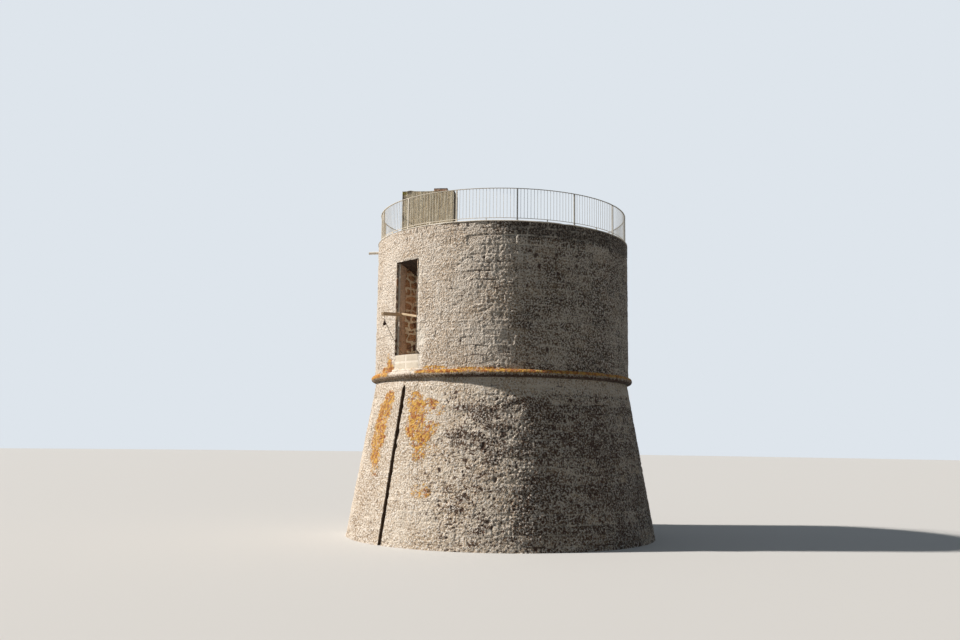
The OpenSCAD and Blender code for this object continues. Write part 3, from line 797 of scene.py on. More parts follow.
def drum_relief(az, z):
    """How far the face stands in or out, and the two vectors for the material."""
    p = on_wall(DRUM_R, az, z)
    number, gap, lean = find_wavy_stones(drum_courses, p, np.radians(az % 360.0) * DRUM_R, z, 31)
    # mortar stands proud where the softer stone has worn back, and is washed out elsewhere
    washed = smooth(rough(p, 0.9, 41), -0.30, 0.30)
    groove = fall(gap, 0.006, 0.030) * (1.5 * washed - 0.5)
    shaded_side = sea_and_shade_side(az)
    bare = 0.75 * spot(az, z, at=12.0, wide=9.0, high=1.2, level=5.7)
    bare = bare + 0.5 * spot(az, z, at=-16.0, wide=9.0, high=2.2, level=6.6)
    worn = np.clip(0.62 + 0.5 * rough(p, 1.5, 45) + 0.25 * shaded_side - bare, 0.1, 1.1)
    q = warped(p, 0.050, 51)
    large, mid, small = three_pits(q, worn, (0.07, 0.30, 0.42), 60)
    face = (stone_chance(number, 5) - 0.5) * 0.009 + 0.06 * lean
    depth = 0.015 * groove + 0.016 * large + 0.013 * mid + 0.010 * small
    # an open crack high on the wall
    crack_at = 9.300 + 0.012 * rough(p, 0.25, 91)
    crack = 0.6 * fall(np.abs(z - crack_at), 0.004, 0.020) * smooth(az, 19.5, 21.5) * fall(az, 29.0, 31.0)
    depth = depth + 0.016 * crack
    uneven = 0.7 + 0.5 * smooth(rough(p, 1.2, 96), -0.3, 0.4)
    per_stone = 0.45 + 0.85 * stone_chance(number, 9)
    lumpy = (0.0030 * lumps(q, 0.150, 97) + 0.0090 * lumps(q, 0.070, 98)) * per_stone
    grazed = 1.0 + 0.45 * np.exp(-(turn_to(az, 44.0) / 14.0) ** 2)
    out = 0.003 + face + 0.004 * rough(p, 0.30, 95) + lumpy * uneven * grazed - depth
    # painted shade next to real crust: the crust mark grows on the shaded side, right of where light turns to
    # shade, and most in the high band there
    high_band = smooth(z, 8.95, 9.25)
    high_crust_and_shade = (0.28 + 0.55 * smooth(az, 44, 58)) * high_band * smooth(az, 20, 50) * fall(az, 170, 230)
    crust = 0.06 + 0.50 * shaded_side * (0.8 + 0.4 * rough(p, 1.1, 99)) + high_crust_and_shade
    crust = crust + 0.27 * smooth(az, 30, 55) * fall(az, 150, 200)
    crust = crust + 0.20 * (stone_chance(number, 8) - 0.45) * (0.3 + 0.7 * shaded_side)
    crust = crust + sun_side(az) * (0.53 + 0.22 * rough(p, 1.2, 47))
    red = spot(az, z, at=78.0, wide=7.0, high=0.5, level=9.2)
    fresh = spot(az, z, at=9.4, wide=2.3, high=0.38, level=6.05) * smooth(rough(p, 0.12, 87), -0.6, -0.15)
    fresh = np.maximum(fresh, 0.95 * spot(az, z, at=8.9, wide=1.1, high=0.36, level=5.45))
    pointed = fall(gap, 0.014, 0.034) * smooth(az, 43.0, 46.0) * fall(az, 62.0, 70.0)
    pointed = pointed * smooth(z, 8.55, 8.75) * fall(z, 9.22, 9.32) * smooth(rough(p, 0.5, 86), -0.35, 0.05)
    thin = thin_lines(p, gap, az, 36.0, 48)
    line = np.maximum(0.9 * pointed, 0.5 * thin * fall(az, 190.0, 220.0))
    fresh = np.maximum(fresh, line)
    orange = np.maximum(patches(az, z, DRUM_LICHEN), 0.36 * red)
    orange = orange + 0.14 * (orange > 0) * rough(p, 0.12, 88)
    out = out + 0.006 * fresh + 0.003 * (orange > 0.4) * rough(p, 0.04, 89)
    pit = np.clip(np.maximum(np.maximum(large, 0.7 * mid), np.maximum(0.5 * small, crack)), 0, 1)
    patchy = 0.55 + 0.45 * smooth(rough(p, 0.9, 46), -0.2, 0.4)
    broken = smooth(rough(p, 0.15, 44), -0.35, 0.25) * patchy * (1.0 - line)
    # open joints are darker on the shaded side, partly as painted shade
    pit = np.maximum(pit, (0.47 + 0.15 * shaded_side) * broken * fall(gap, 0.006, 0.026))
    # painted light: paler stone on the sunlit front, up to where light turns to shade, and a little paler
    # away from the shaded side
    painted_light = 0.45 * smooth(az, 2.0, 16.0) * fall(az, 40.0, 50.0) + 0.10 * (1.0 - shaded_side)
    tone = 0.15 + painted_light - 0.5 * sun_side(az) + 0.55 * stone_chance(number, 6) + 0.2 * rough(p, 0.5, 93)
    wear = vector(np.clip(tone, 0, 1), gap, pit)
    growth = vector(orange, np.clip(crust, 0, 1), np.clip(fresh, 0, 1))
    return np.clip(out, MOST_IN, MOST_OUT), wear, growth


def lines(*stops, cell):
    """Grid lines that pass through every stop, with cells of about the given size."""
    parts = []
    for a, b in zip(stops[:-1], stops[1:]):
        count = max(2, int(round((b - a) / cell)) + 1)
        parts.append(np.linspace(a, b, count)[:-1])
    return np.concatenate(parts + [[stops[-1]]])


print("drum wall: core at", DRUM_CORE, "m, face within", MOST_IN, "and", MOST_OUT, "m of", DRUM_R)

# %% [markdown]
# Each sheet runs between a rough face and a smooth back that lies inside the wall.
# The sides seen in the photo get a finer grid than the far side.

# %% Build the drum's sheets
SHEETS, SEEN_SHEETS = 8, (0, 1, 2, 7)
HALF_SHEET = 180.0 / SHEETS
NEW_BLOCKS_END = 0.590


def side_angle(x, r=DRUM_R):
    """The direction, in degrees, of a point that lies x metres to the right."""
    return math.degrees(math.asin(x / r))


def drum_sheet(number, cell):
    """One sheet of the drum's facing. The first has the doorway's opening."""
    middle = 2 * HALF_SHEET * number
    step = math.degrees(cell / DRUM_R)
    door = number == 0
    left, right, block_right = side_angle(-DOOR_SIDE), side_angle(DOOR_SIDE), side_angle(NEW_BLOCKS_END)
    if door:
        az = lines(-HALF_SHEET, left, right, block_right, HALF_SHEET, cell=step)
        level = lines(WALL_LOW, SILL, DOOR_TOP, WALL_HIGH, cell=cell)
    else:
        az = lines(middle - HALF_SHEET, middle + HALF_SHEET, cell=step)
        level = lines(WALL_LOW, WALL_HIGH, cell=cell)
    az, z = np.meshgrid(az, level, indexing="ij")
    present = None
    if door:
        mid_az, mid_z = (az[1:, 1:] + az[:-1, 1:]) / 2, (z[1:, 1:] + z[1:, :-1]) / 2
        opening = (mid_az > left) & (mid_az < right) & (mid_z > SILL) & (mid_z < DOOR_TOP)
        blocks = (mid_az > left) & (mid_az < block_right) & (mid_z < SILL)
        present = ~(opening | blocks)
        # ragged edges, and the broken corner at the right end of the sill
        p = on_wall(DRUM_R, az, z)
        beside = (z > SILL - 0.02) & (z < DOOR_TOP + 0.02)
        ragged = 0.016 * rough(p * [0, 0, 1], 0.13, 7) + 0.008 * rough(p * [0, 0, 1], 0.05, 9)
        chipped = np.clip(CHIP - (z - SILL), 0.0, CHIP) * (z > SILL - 0.001)
        near_left = np.exp(-np.abs(az - left) / 0.7) * (az <= left + 0.01) * beside
        near_right = np.exp(-np.abs(az - right) / 1.6) * (az >= right - 0.01) * beside
        az = az - np.degrees(0.5 * ragged / DRUM_R) * near_left
        az = az + np.degrees((0.6 * ragged + chipped) / DRUM_R) * near_right
        above = np.exp(-np.abs(z - DOOR_TOP) / 0.04) * (z >= DOOR_TOP - 0.001) * (np.abs(az) < right + 0.5)
        z = z + 0.014 * rough(p * [1, 1, 0], 0.12, 12) * above
    out, wear, growth = drum_relief(az, z)
    if door:
        p = on_wall(DRUM_R, az, z)
        lip = np.maximum(np.exp(-np.abs(az - right) / 0.9), np.exp(-np.abs(az - left) / 0.75))
        lip = lip * (z > SILL - 0.1) * (z < DOOR_TOP + 0.06)
        lintel = np.exp(-np.abs(z - DOOR_TOP) / 0.05) * (z > DOOR_TOP - 0.02) * (np.abs(az) < right + 2.0)
        pale = 1.15 * np.maximum(lip, lintel) * (0.85 + 0.6 * rough(p, 0.15, 14))
        growth[..., 2] = np.clip(np.maximum(growth[..., 2], pale), 0, 1)
    front = on_wall(DRUM_R + out, az, z)
    back = on_wall(DRUM_CORE, az, z)
    marks = {"wear": wear, "growth": growth}
    piece = add_sheet(f"drum_facing_{number}", front, back, present, marks=marks)
    piece.data.materials.append(drum_stone)
    return piece


for number in range(SHEETS):
    drum_sheet(number, cell=0.0245 if number in SEEN_SHEETS else 0.036)
tell("drum facing", "drum_facing")

# %% [markdown]
# ## Base facing
# The base leans in as it rises. It is pale and fairly smooth beside the chase and
# under the cordon, and dark and deeply pitted to the right. The chase itself stays
# open: its right edge is chipped in several places.

# %% Relief of the base
BASE_R, BASE_TOP_R, BASE_HIGH, BATTER_HIGH = 5.005, 4.160, 4.912, 4.864
CHASE_TOP, CHASE_SIDE = 4.700, 0.0825
SLOPE = (BASE_R - BASE_TOP_R) / BATTER_HIGH
BASE_CORE_IN = 0.024
# height, half height and depth
CHASE_CHIPS = [
    (4.42, 0.10, 0.030), (4.05, 0.07, 0.045), (3.86, 0.05, 0.030), (3.30, 0.09, 0.035),
    (2.86, 0.05, 0.045), (2.10, 0.07, 0.030), (1.2, 0.09, 0.022),
]


def base_radius(z):
    """Radius of the battered wall at that height."""
    return BASE_R - SLOPE * z


def base_relief(az, z):
    """How far the face stands in or out, and the two vectors for the material."""
    p = on_wall(base_radius(z), az, z)
    number, gap, lean = find_wavy_stones(base_courses, p, np.radians(az % 360.0) * BASE_MID_R, z, 131)
    turned = turn_to(az, 0.0)
    open_joint = smooth(rough(p, 0.9, 141), -0.3, 0.4)
    calm = np.maximum(fall(np.abs(turn_to(az, -6.0)), 16.0, 24.0), 0.8 * smooth(z, 4.30, 4.62))
    calm = np.clip(calm, 0, 1)
    groove = fall(gap, 0.005, 0.030) * (0.15 + 0.85 * open_joint) * (1.0 - 0.45 * calm)
    shaded_side = sea_and_shade_side(az)
    eaten = smooth(turned, 12.0, 27.0) * fall(turned, 150.0, 178.0)
    eaten = np.maximum(eaten, 0.35)
    beside_chase = fall(np.abs(turn_to(az, -4.0)), 15.0, 24.0)
    eaten = eaten * (1.0 - 0.75 * smooth(z, 4.35, 4.65)) * (1.0 - 0.85 * beside_chase)
    worn = np.clip(0.25 + 0.95 * eaten + 0.4 * rough(p, 1.3, 145), 0.08, 1.15)
    q = warped(p, 0.060, 151)
    large, mid, small = three_pits(q, worn, (0.08, 0.40, 0.50), 160)
    face = (stone_chance(number, 15) - 0.5) * 0.008 + 0.05 * lean
    depth = 0.014 * groove + 0.015 * large + 0.018 * mid + 0.012 * small
    # a thin crack that falls from the lichen
    crack_at = 12.3 + (2.62 - z) * 2.3 + 0.25 * rough(p, 0.2, 191)
    crack = fall(np.abs(turned - crack_at), 0.05, 0.30) * smooth(z, 1.60, 1.75) * fall(z, 2.60, 2.80)
    depth = depth + 0.007 * crack
    per_stone = 0.55 + 0.70 * stone_chance(number, 20)
    lumpy = (0.002 * lumps(q, 0.140, 197) + 0.0115 * lumps(q, 0.075, 198)) * per_stone
    out = 0.004 + face + 0.004 * rough(p, 0.30, 195) + lumpy * (0.35 + 0.9 * np.clip(worn, 0, 1)) - depth
    bands = 0.5 + 0.5 * np.cos((z - 3.55) * 2.6)
    clusters = rough(p * [1, 1, 2.2], 0.42, 201) * (0.22 + 0.72 * fall(turned, 42.0, 58.0))
    # some stones, and some whole courses, are darker than others
    clusters = clusters + 0.24 * (stone_chance(number, 18) - 0.5)
    clusters = clusters + 0.26 * (stone_chance(number // 1000, 19) - 0.5)
    darkest = 0.34 * spot(az, z, at=36.0, wide=15.0, high=0.85, level=3.5)
    # painted light and shade next to real crust: less crust where the face is lit, and more on the shaded
    # side
    lit = fall(turned, 40.0, 56.0)
    eaten_crust = 0.44 - 0.30 * lit + 0.18 * bands + 0.20 * rough(p, 0.8, 199) + clusters + darkest
    crust = eaten * eaten_crust + 0.24 * shaded_side
    calm_crust = 0.14 * smooth(rough(p, 0.5, 198), -0.4, 0.4) + 0.36 * fall(turned, -13.0, 1.0)
    crust = crust * (1.0 - 0.7 * smooth(z, 4.35, 4.62)) + 0.04 + calm * calm_crust
    crust = np.clip(crust + sun_side(az) * (0.46 + 0.22 * rough(p, 1.2, 147)), 0, 0.88)
    orange = patches(az, z, BASE_LICHEN)
    orange = orange + (orange > 0) * (0.15 * rough(p, 0.26, 205) + 0.20 * rough(p, 0.075, 207))
    orange = orange * (1.0 - 0.8 * np.exp(-np.abs(turn_to(az, -0.5)) / 1.3))
    fresh = 0.12 * fall(np.abs(turn_to(az, -2.0)), 12.0, 20.0) * smooth(rough(p, 0.7, 187), -0.3, 0.4)
    under_cordon = 0.28 * smooth(z, 4.5, 4.75) * smooth(rough(p, 0.5, 188), -0.3, 0.3) * (1 - shaded_side)
    fresh = np.maximum(fresh, under_cordon)
    thin = thin_lines(p, gap, turned, 34.0, 148)
    fresh = np.maximum(fresh, 0.5 * thin)
    out = out + 0.003 * (orange > 0.4) * rough(p, 0.04, 189)
    pit = np.clip(np.maximum(np.maximum(large, 0.9 * mid), np.maximum(0.9 * small, 0.45 * crack)), 0, 1)
    broken = smooth(rough(p, 0.15, 144), -0.35, 0.25) * (1.0 - 0.35 * calm) * (1.0 - thin)
    # open joints are darker on the shaded side, partly as painted shade
    opened = (0.50 + 0.15 * shaded_side) * (0.4 + 0.6 * open_joint) * broken * fall(gap, 0.006, 0.026)
    pit = np.maximum(pit, opened)
    # painted light: paler stone on the sunlit front, up to where light turns to shade
    painted_light = 0.80 * smooth(turned, 8.0, 24.0) * fall(turned, 45.0, 75.0)
    greyed = 0.50 * fall(turned, 2.0, 14.0) * calm
    per_stone = 0.6 * stone_chance(number, 16)
    tone = 0.12 + painted_light - greyed - 0.5 * sun_side(az) + per_stone + 0.2 * rough(p, 0.5, 193)
    wear = vector(np.clip(tone, 0, 1), gap, pit)
    growth = vector(orange, np.clip(crust, 0, 1), np.clip(fresh, 0, 1))
    return np.clip(out, MOST_IN, MOST_OUT), wear, growth


print("base: radius", base_radius(0.0), "at the ground and", round(base_radius(BASE_HIGH), 3), "at the top")

# %% [markdown]
# The sheets of the base are made the same way. The first one has the chase, whose
# edges keep their distance while the wall leans in.

# %% Build the base's sheets
def base_sheet(number, cell):
    """One sheet of the base's facing. The first has the chase."""
    middle = 2 * HALF_SHEET * number
    step = math.degrees(cell / BASE_MID_R)
    chase = number == 0
    if chase:
        edge = side_angle(CHASE_SIDE, BASE_MID_R)
        az = lines(-HALF_SHEET, -edge, edge, HALF_SHEET, cell=step)
        level = lines(0.0, CHASE_TOP - 0.07, CHASE_TOP, BASE_HIGH, cell=cell)
    else:
        az = lines(middle - HALF_SHEET, middle + HALF_SHEET, cell=step)
        level = lines(0.0, BASE_HIGH, cell=cell)
    az, z = np.meshgrid(az, level, indexing="ij")
    present = None
    if chase:
        mid_az, mid_z = (az[1:, 1:] + az[:-1, 1:]) / 2, (z[1:, 1:] + z[1:, :-1]) / 2
        present = ~((np.abs(mid_az) < edge) & (mid_z < CHASE_TOP))
        # the chase keeps its width all the way up, and its edges are ragged
        p = on_wall(BASE_MID_R, az, z)
        chipped = sum(size * np.exp(-((z - at) / wide) ** 2) for at, wide, size in CHASE_CHIPS)
        ragged = 0.010 * rough(p * [0, 0, 1], 0.11, 17)
        fade = np.exp(-np.maximum(np.abs(az) - edge, 0.0) / 1.2) * (z < CHASE_TOP + 0.02)
        drift = np.degrees(CHASE_SIDE / base_radius(z)) - edge
        right = (az > 0) * (np.degrees((ragged + chipped) / base_radius(z)) + drift)
        left = (az < 0) * (np.degrees(0.6 * ragged / base_radius(z)) + drift)
        az = az + fade * np.where(np.abs(az) > edge - 0.001, right - left, 0.0)
        head = (np.abs(az) < edge * 1.5) & (z > CHASE_TOP - 0.05) & (z < CHASE_TOP + 0.01)
        az = az * np.where(head, 0.62, 1.0)
    out, wear, growth = base_relief(az, z)
    if chase:
        lip = np.exp(-np.maximum(np.abs(az) - edge, 0.0) / 0.35) * (z < CHASE_TOP)
        growth[..., 0] *= 1.0 - lip
    front = on_wall(base_radius(z) + out, az, z)
    back = on_wall(base_radius(z) - BASE_CORE_IN, az, z)
    marks = {"wear": wear, "growth": growth}
    piece = add_sheet(f"base_facing_{number}", front, back, present, marks=marks)
    piece.data.materials.append(base_stone)
    return piece


for number in range(SHEETS):
    base_sheet(number, cell=0.0265 if number in SEEN_SHEETS else 0.039)
tell("base facing", "base_facing")

# %% [markdown]
# ## Cordon
# The cordon is a half-round course of cut stones. Each stone is a little out of line
# with the next, and its nose is worn. Orange lichen sits on its upper side, where
# rain stays, and the underside is painted dark as shade.

# %% Build the cordon
CORDON_R, CORDON_Z, NOSE, NOSE_HIGH = 4.200, 5.026, 0.128, 0.113
CORDON_MID_R, CORDON_BACK_R = 4.3, 4.05


def cordon_grid():
    """The rings of the cordon and its two vectors for the material."""
    around, across = 940, 15
    az = np.linspace(0, 360, around, endpoint=False)
    swing = np.linspace(-92, 92, across)
    az_grid, swing_grid = np.meshgrid(az, swing, indexing="ij")
    a = np.radians(swing_grid)
    base_z = CORDON_Z + NOSE_HIGH * np.sin(a)
    p = on_wall(CORDON_R + NOSE * np.cos(a), az_grid, base_z)
    ring_stones = lay_courses(
        -1.0, 1.0, 2 * math.pi * CORDON_MID_R, tall=(2.2, 2.3), long=(0.42, 0.66), seed=21,
    )
    s = np.radians(az_grid) * CORDON_MID_R + 0.012 * rough(p, 0.2, 301)
    number, gap, _ = find_stones(ring_stones, s, np.zeros_like(s), corner=0.05)
    groove = fall(gap, 0.002, 0.020)
    worn = 0.55 + 0.5 * rough(p, 0.9, 305)
    hollows = pits(p, 0.10, 0.42, 310) * worn
    step = (stone_chance(number, 25) - 0.5) * 0.012
    out = step + 0.008 * rough(p, 0.16, 315) + 0.003 * rough(p, 0.05, 317) - 0.014 * groove - 0.018 * hollows
    low_side = 24.0 * fall(np.abs(turn_to(az_grid, -27.0)), 15.0, 20.0)
    top = smooth(swing_grid, -22.0 - low_side, 12.0 - low_side)
    left, right = turn_to(az_grid, -27.0), turn_to(az_grid, 32.0)
    orange = 0.80 * fall(np.abs(left), 15.0, 20.0) + 0.78 * fall(np.abs(right), 22.0, 30.0)
    orange = np.maximum(orange, 0.72 * fall(np.abs(turn_to(az_grid, 92.0)), 44.0, 62.0))
    orange = np.maximum(orange, 0.50 * fall(np.abs(turn_to(az_grid, 205.0)), 60.0, 80.0))
    orange = orange * top * (0.9 + 0.25 * rough(p, 0.6, 319))
    fresh = 0.7 * fall(np.abs(turn_to(az_grid, -0.5)), 7.0, 9.0) * smooth(swing_grid, -20.0, 30.0)
    shaded_side = sea_and_shade_side(az_grid)
    # painted shade: the underside is darkened all round, and less so left of the doorway, where it
    # stays brown; the extra crust to the seaward side lies where light turns to shade and is partly painted
    # shade
    underside_shade = 1.0 - 0.62 * fall(np.abs(turn_to(az_grid, -12.0)), 24.0, 40.0)
    seaward_shade = smooth(turn_to(az_grid, 0.0), 48.0, 66.0) * (turn_to(az_grid, 0.0) < 160.0)
    crust = 0.30 + 0.12 * seaward_shade + 0.7 * underside_shade * fall(swing_grid, -50.0, 5.0)
    # painted shade: the stones are darker on the shaded side
    tone = np.clip(stone_chance(number, 26) - 0.35 * shaded_side, 0, 1)
    r = CORDON_R + (NOSE + out) * np.cos(a)
    z = CORDON_Z + (NOSE_HIGH + 0.3 * out) * np.sin(a)
    outer = on_wall(r, az_grid, z)
    inner_z = np.array([[5.134, 4.866]]) * np.ones((around, 1))
    inner = on_wall(CORDON_BACK_R, az[:, None] * np.ones((1, 2)), inner_z)
    grid = np.concatenate([outer, inner], 1)
    # painted shade: the underside gets near-black hollows, and the joints are open
    under = underside_shade * (0.34 + 0.12 * rough(p, 0.1, 321)) * fall(swing_grid, -42.0, -8.0)
    hollows = np.maximum(np.maximum(hollows, under), 0.5 * groove)
    wear = vector(tone, gap, np.clip(hollows, 0, 1))
    growth = vector(orange, np.clip(crust, 0, 1), fresh)
    pad = ((0, 0), (0, 2), (0, 0))
    return grid, np.pad(wear, pad, mode="edge"), np.pad(growth, pad, mode="edge")


grid, wear, growth = cordon_grid()
cordon = add_ring("cordon_course", grid, {"wear": wear, "growth": growth})
cordon.data.materials.append(cordon_stone)
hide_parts("cordon")
print("cordon:", len(cordon.data.polygons), "faces")

# %% [markdown]
# ## Coping
# The top of the wall is finished with a thin bed of pale mortar. Its edge is uneven,
# thicker in places and broken in others, which is what keeps it from looking turned.

# %% Build the coping
def mortar_material(name, light=(255, 250, 238), dark=(230, 220, 204)):
    """Pale lime mortar with grey stains and small holes."""
    material, tree, shader, place = new_material(name, roughness=0.9)
    grain = grain_at(tree, place, scale=5.0)
    holes = holes_at(tree, place, scale=30.0, amount=0.3)
    stain = growth_at(tree, place, amount=0.36, scale=2.2, edge=4.0)
    colour = layer(tree, grain["Shade"], paint(*dark), paint(*light))
    colour = tint(tree, colour, stain, 0.55, (112, 104, 92))
    colour = tint(tree, colour, holes, 0.5, (96, 86, 74))
    height = minus(tree, grain["Height"], times(tree, holes, 0.4))
    finish(tree, shader, colour, height, reach=0.010)
    return material


coping_mortar = mortar_material("coping_mortar")
new_mortar = mortar_material("new_block_mortar", light=(255, 248, 236), dark=(240, 229, 212))


def coping_grid():
    """The rings of the bed of mortar, with an edge that is thick in places and broken in others."""
    around = 1000
    az = np.linspace(0, 360, around, endpoint=False)
    profile = [(3.835, 9.531), (3.836, 9.552), (3.845, 9.568), (3.93, 9.569), (4.03, 9.569), (4.13, 9.569),
               (4.20, 9.566), (4.222, 9.556), (4.225, 9.545), (4.216, 9.533), (4.19, 9.530), (4.05, 9.531)]
    r = np.array([a for a, _ in profile])[None] * np.ones((around, 1))
    z = np.array([b for _, b in profile])[None] * np.ones((around, 1))
    az_grid = az[:, None] * np.ones((1, len(profile)))
    p = on_wall(r, az_grid, z)
    outer, inner, top = smooth(r, 4.13, 4.20), fall(r, 3.84, 3.90), smooth(z, 9.55, 9.566)
    edge = 0.010 * rough(p, 0.5, 401) + 0.010 * rough(p, 0.14, 405)
    missing = smooth(rough(p, 0.7, 409), 0.28, 0.5)
    r = r + outer * (edge - 0.022 * missing) - inner * 0.6 * edge
    flat = 0.0035 * rough(p, 0.3, 411) - 0.012 * outer * missing
    z = z + top * flat - outer * (1 - top) * 0.010 * smooth(rough(p, 0.4, 413), 0.0, 0.5)
    return on_wall(r, az_grid, z)


coping = add_ring("coping_bed", coping_grid())
coping.data.materials.append(coping_mortar)
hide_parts("coping")
print("coping:", len(coping.data.polygons), "faces")

# %% [markdown]
# ## Doorway
# The face of the wall is worn, but behind it the reveals still show brown rubble with
# wide pale joints. Each reveal is a sheet that follows the wall in plan: in from the
# face, across the step where the leaf once sat, and on through the wall.

# %% Build the reveals
reveal_stone = rubble_material(
    "reveal_rubble", light=(232, 180, 136), dark=(134, 94, 68), mortar=(255, 240, 214), crust=(46, 30, 22),
    young=(46, 30, 22), pointing=1.2, always=0.62, reach=0.040, knobs=0.10,
)
# painted shade: the passage's underside gets near-black stone and mortar
soffit_shade_stone = rubble_material(
    "soffit_painted_shade", light=(88, 64, 46), dark=(42, 31, 23), mortar=(84, 66, 50), crust=(46, 34, 26),
    young=(46, 34, 26), pointing=0.5, knobs=0.05,
)
PASSAGE_SIDE, FACE_Y, STEP_Y, ROOM_Y = 0.440, -4.192, -4.100, -2.330
SOFFIT_Y, LOW_Y, LOW_TOP = -3.750, -2.980, 7.786


def passage_top(y):
    """Height of the soffit: level behind the face, then sloping, then level again."""
    return np.interp(y, [SOFFIT_Y, LOW_Y], [DOOR_TOP, LOW_TOP])


def masonry_skin(p, s, t, layout, seed, depth=0.022):
    """Relief of rubble whose joints are pointed nearly full."""
    wavy_s, wavy_t = s + 0.13 * rough(p, 0.22, seed), t + 0.11 * rough(p, 0.24, seed + 4)
    number, gap, _ = find_stones(layout, wavy_s, wavy_t, corner=0.08)
    belly = smooth(gap, 0.0, 0.055)
    tilt = (stone_chance(number, seed) - 0.4) * 0.014
    hollows = pits(p, 0.09, 0.4, seed + 12)
    out = 0.004 + depth * 0.5 * belly + tilt * belly + 0.004 * rough(p, 0.09, seed + 8) - 0.008 * hollows
    tone = stone_chance(number, seed + 1)
    return np.clip(out, 0.002, 0.03), vector(tone, gap * 0.6, 0.6 * hollows)


def reveal(name, sign):
    """One side of the doorway. Sign is -1 for the left side and 1 for the right."""
    # plan of the reveal, from the face inwards on the left, and outwards on the right
    corner = [(DOOR_SIDE, FACE_Y), (DOOR_SIDE, STEP_Y), (PASSAGE_SIDE, STEP_Y), (PASSAGE_SIDE, ROOM_Y)]
    plan = [(-x, y) for x, y in corner] if sign < 0 else corner[::-1]
    points = []
    for (x1, y1), (x2, y2) in zip(plan[:-1], plan[1:]):
        n = max(2, int(round(math.hypot(x2 - x1, y2 - y1) / 0.024)))
        points += [(x1 + (x2 - x1) * k / n, y1 + (y2 - y1) * k / n, (y2 - y1), -(x2 - x1)) for k in range(n)]
    points.append((*plan[-1], plan[-1][1] - plan[-2][1], -(plan[-1][0] - plan[-2][0])))
    line = np.array(points)
    normal = line[:, 2:] / np.linalg.norm(line[:, 2:], axis=1)[:, None]
    soft = normal.copy()
    soft[1:-1] = normal[:-2] + normal[2:] + normal[1:-1]
    soft /= np.linalg.norm(soft, axis=1)[:, None]
    along = np.concatenate([[0], np.cumsum(np.hypot(*np.diff(line[:, :2], axis=0).T))])
    t = np.linspace(0, 1, 118)
    top = passage_top(line[:, 1])[:, None]
    z = SILL + 0.002 + (top - 0.004 - SILL) * t[None]
    x, y = line[:, 0][:, None] + 0 * z, line[:, 1][:, None] + 0 * z
    p = vector(x, y, z)
    layout = lay_courses(5.5, 8.8, 9.0, tall=(0.15, 0.32), long=(0.20, 0.42), seed=41 + sign)
    out, wear = masonry_skin(p, along[:, None] + 3.0 + 0 * z, z, layout, 500 + 40 * sign)
    face = vector(soft[:, 0], soft[:, 1], 0.0)[:, None]
    near_face = smooth(y, -4.08, -4.12)
    # next to the face the side is plastered, further down the wider
    edge = -3.88 + 0.06 * fall(z, 5.7, 6.6) + 0.07 * rough(p, 0.28, 537)
    plaster = fall(y - edge, -0.03, 0.03) * smooth(y, -4.10, -4.06)
    out = out + plaster * (0.014 + 0.002 * rough(p, 0.12, 539) - out)
    coated = vector(0.75 + 0.25 * rough(p, 0.30, 541), 0.3, 0.0)
    wear = wear + plaster[..., None] * (coated - wear)
    front, back = p + face * out[..., None], p + face * 0.001
    chipped = 0.5 * fall(y, -4.1, -3.95) * smooth(rough(p, 0.2, 530), 0.1, 0.4)
    pale = (np.abs(y - STEP_Y) < 0.012) * 0.85 + chipped
    # painted shade next to crust: darker deeper into the passage, on the outer side faces of the step and up
    # under the soffit; darker at the foot as well
    crust = 0.16 + 0.5 * rough(p, 0.35, 531) + 0.6 * smooth(y, -3.85, -3.25)
    crust = crust + 0.5 * near_face * (np.abs(x) > 0.49) + 0.60 * smooth(z, 7.9, 8.5)
    crust = (crust + 0.25 * fall(z, 5.8, 6.7)) * (1 - 0.9 * plaster)
    pale = np.maximum(pale, plaster * (0.16 + 0.22 * smooth(z, 6.2, 7.2) + 0.14 * rough(p, 0.30, 543)))
    wear[..., 0] = wear[..., 0] + 0.5 * smooth(z, 6.2, 7.2)
    if sign > 0:
        # the sunny side was limewashed
        crust, pale = 0.4 * crust, np.maximum(pale, 0.45 + 0.35 * rough(p, 0.25, 533))
    growth = vector(0.0, np.clip(crust, 0, 0.85), np.clip(pale, 0, 0.9))
    piece = add_sheet(name, front, back, marks={"wear": wear, "growth": growth})
    piece.data.materials.append(reveal_stone)
    return piece


reveal("reveal_left", -1)
reveal("reveal_right", 1)
tell("sides", "reveal")

# %% [markdown]
# The underside is painted much darker than the sides, as shade, and its mortar hardly shows.

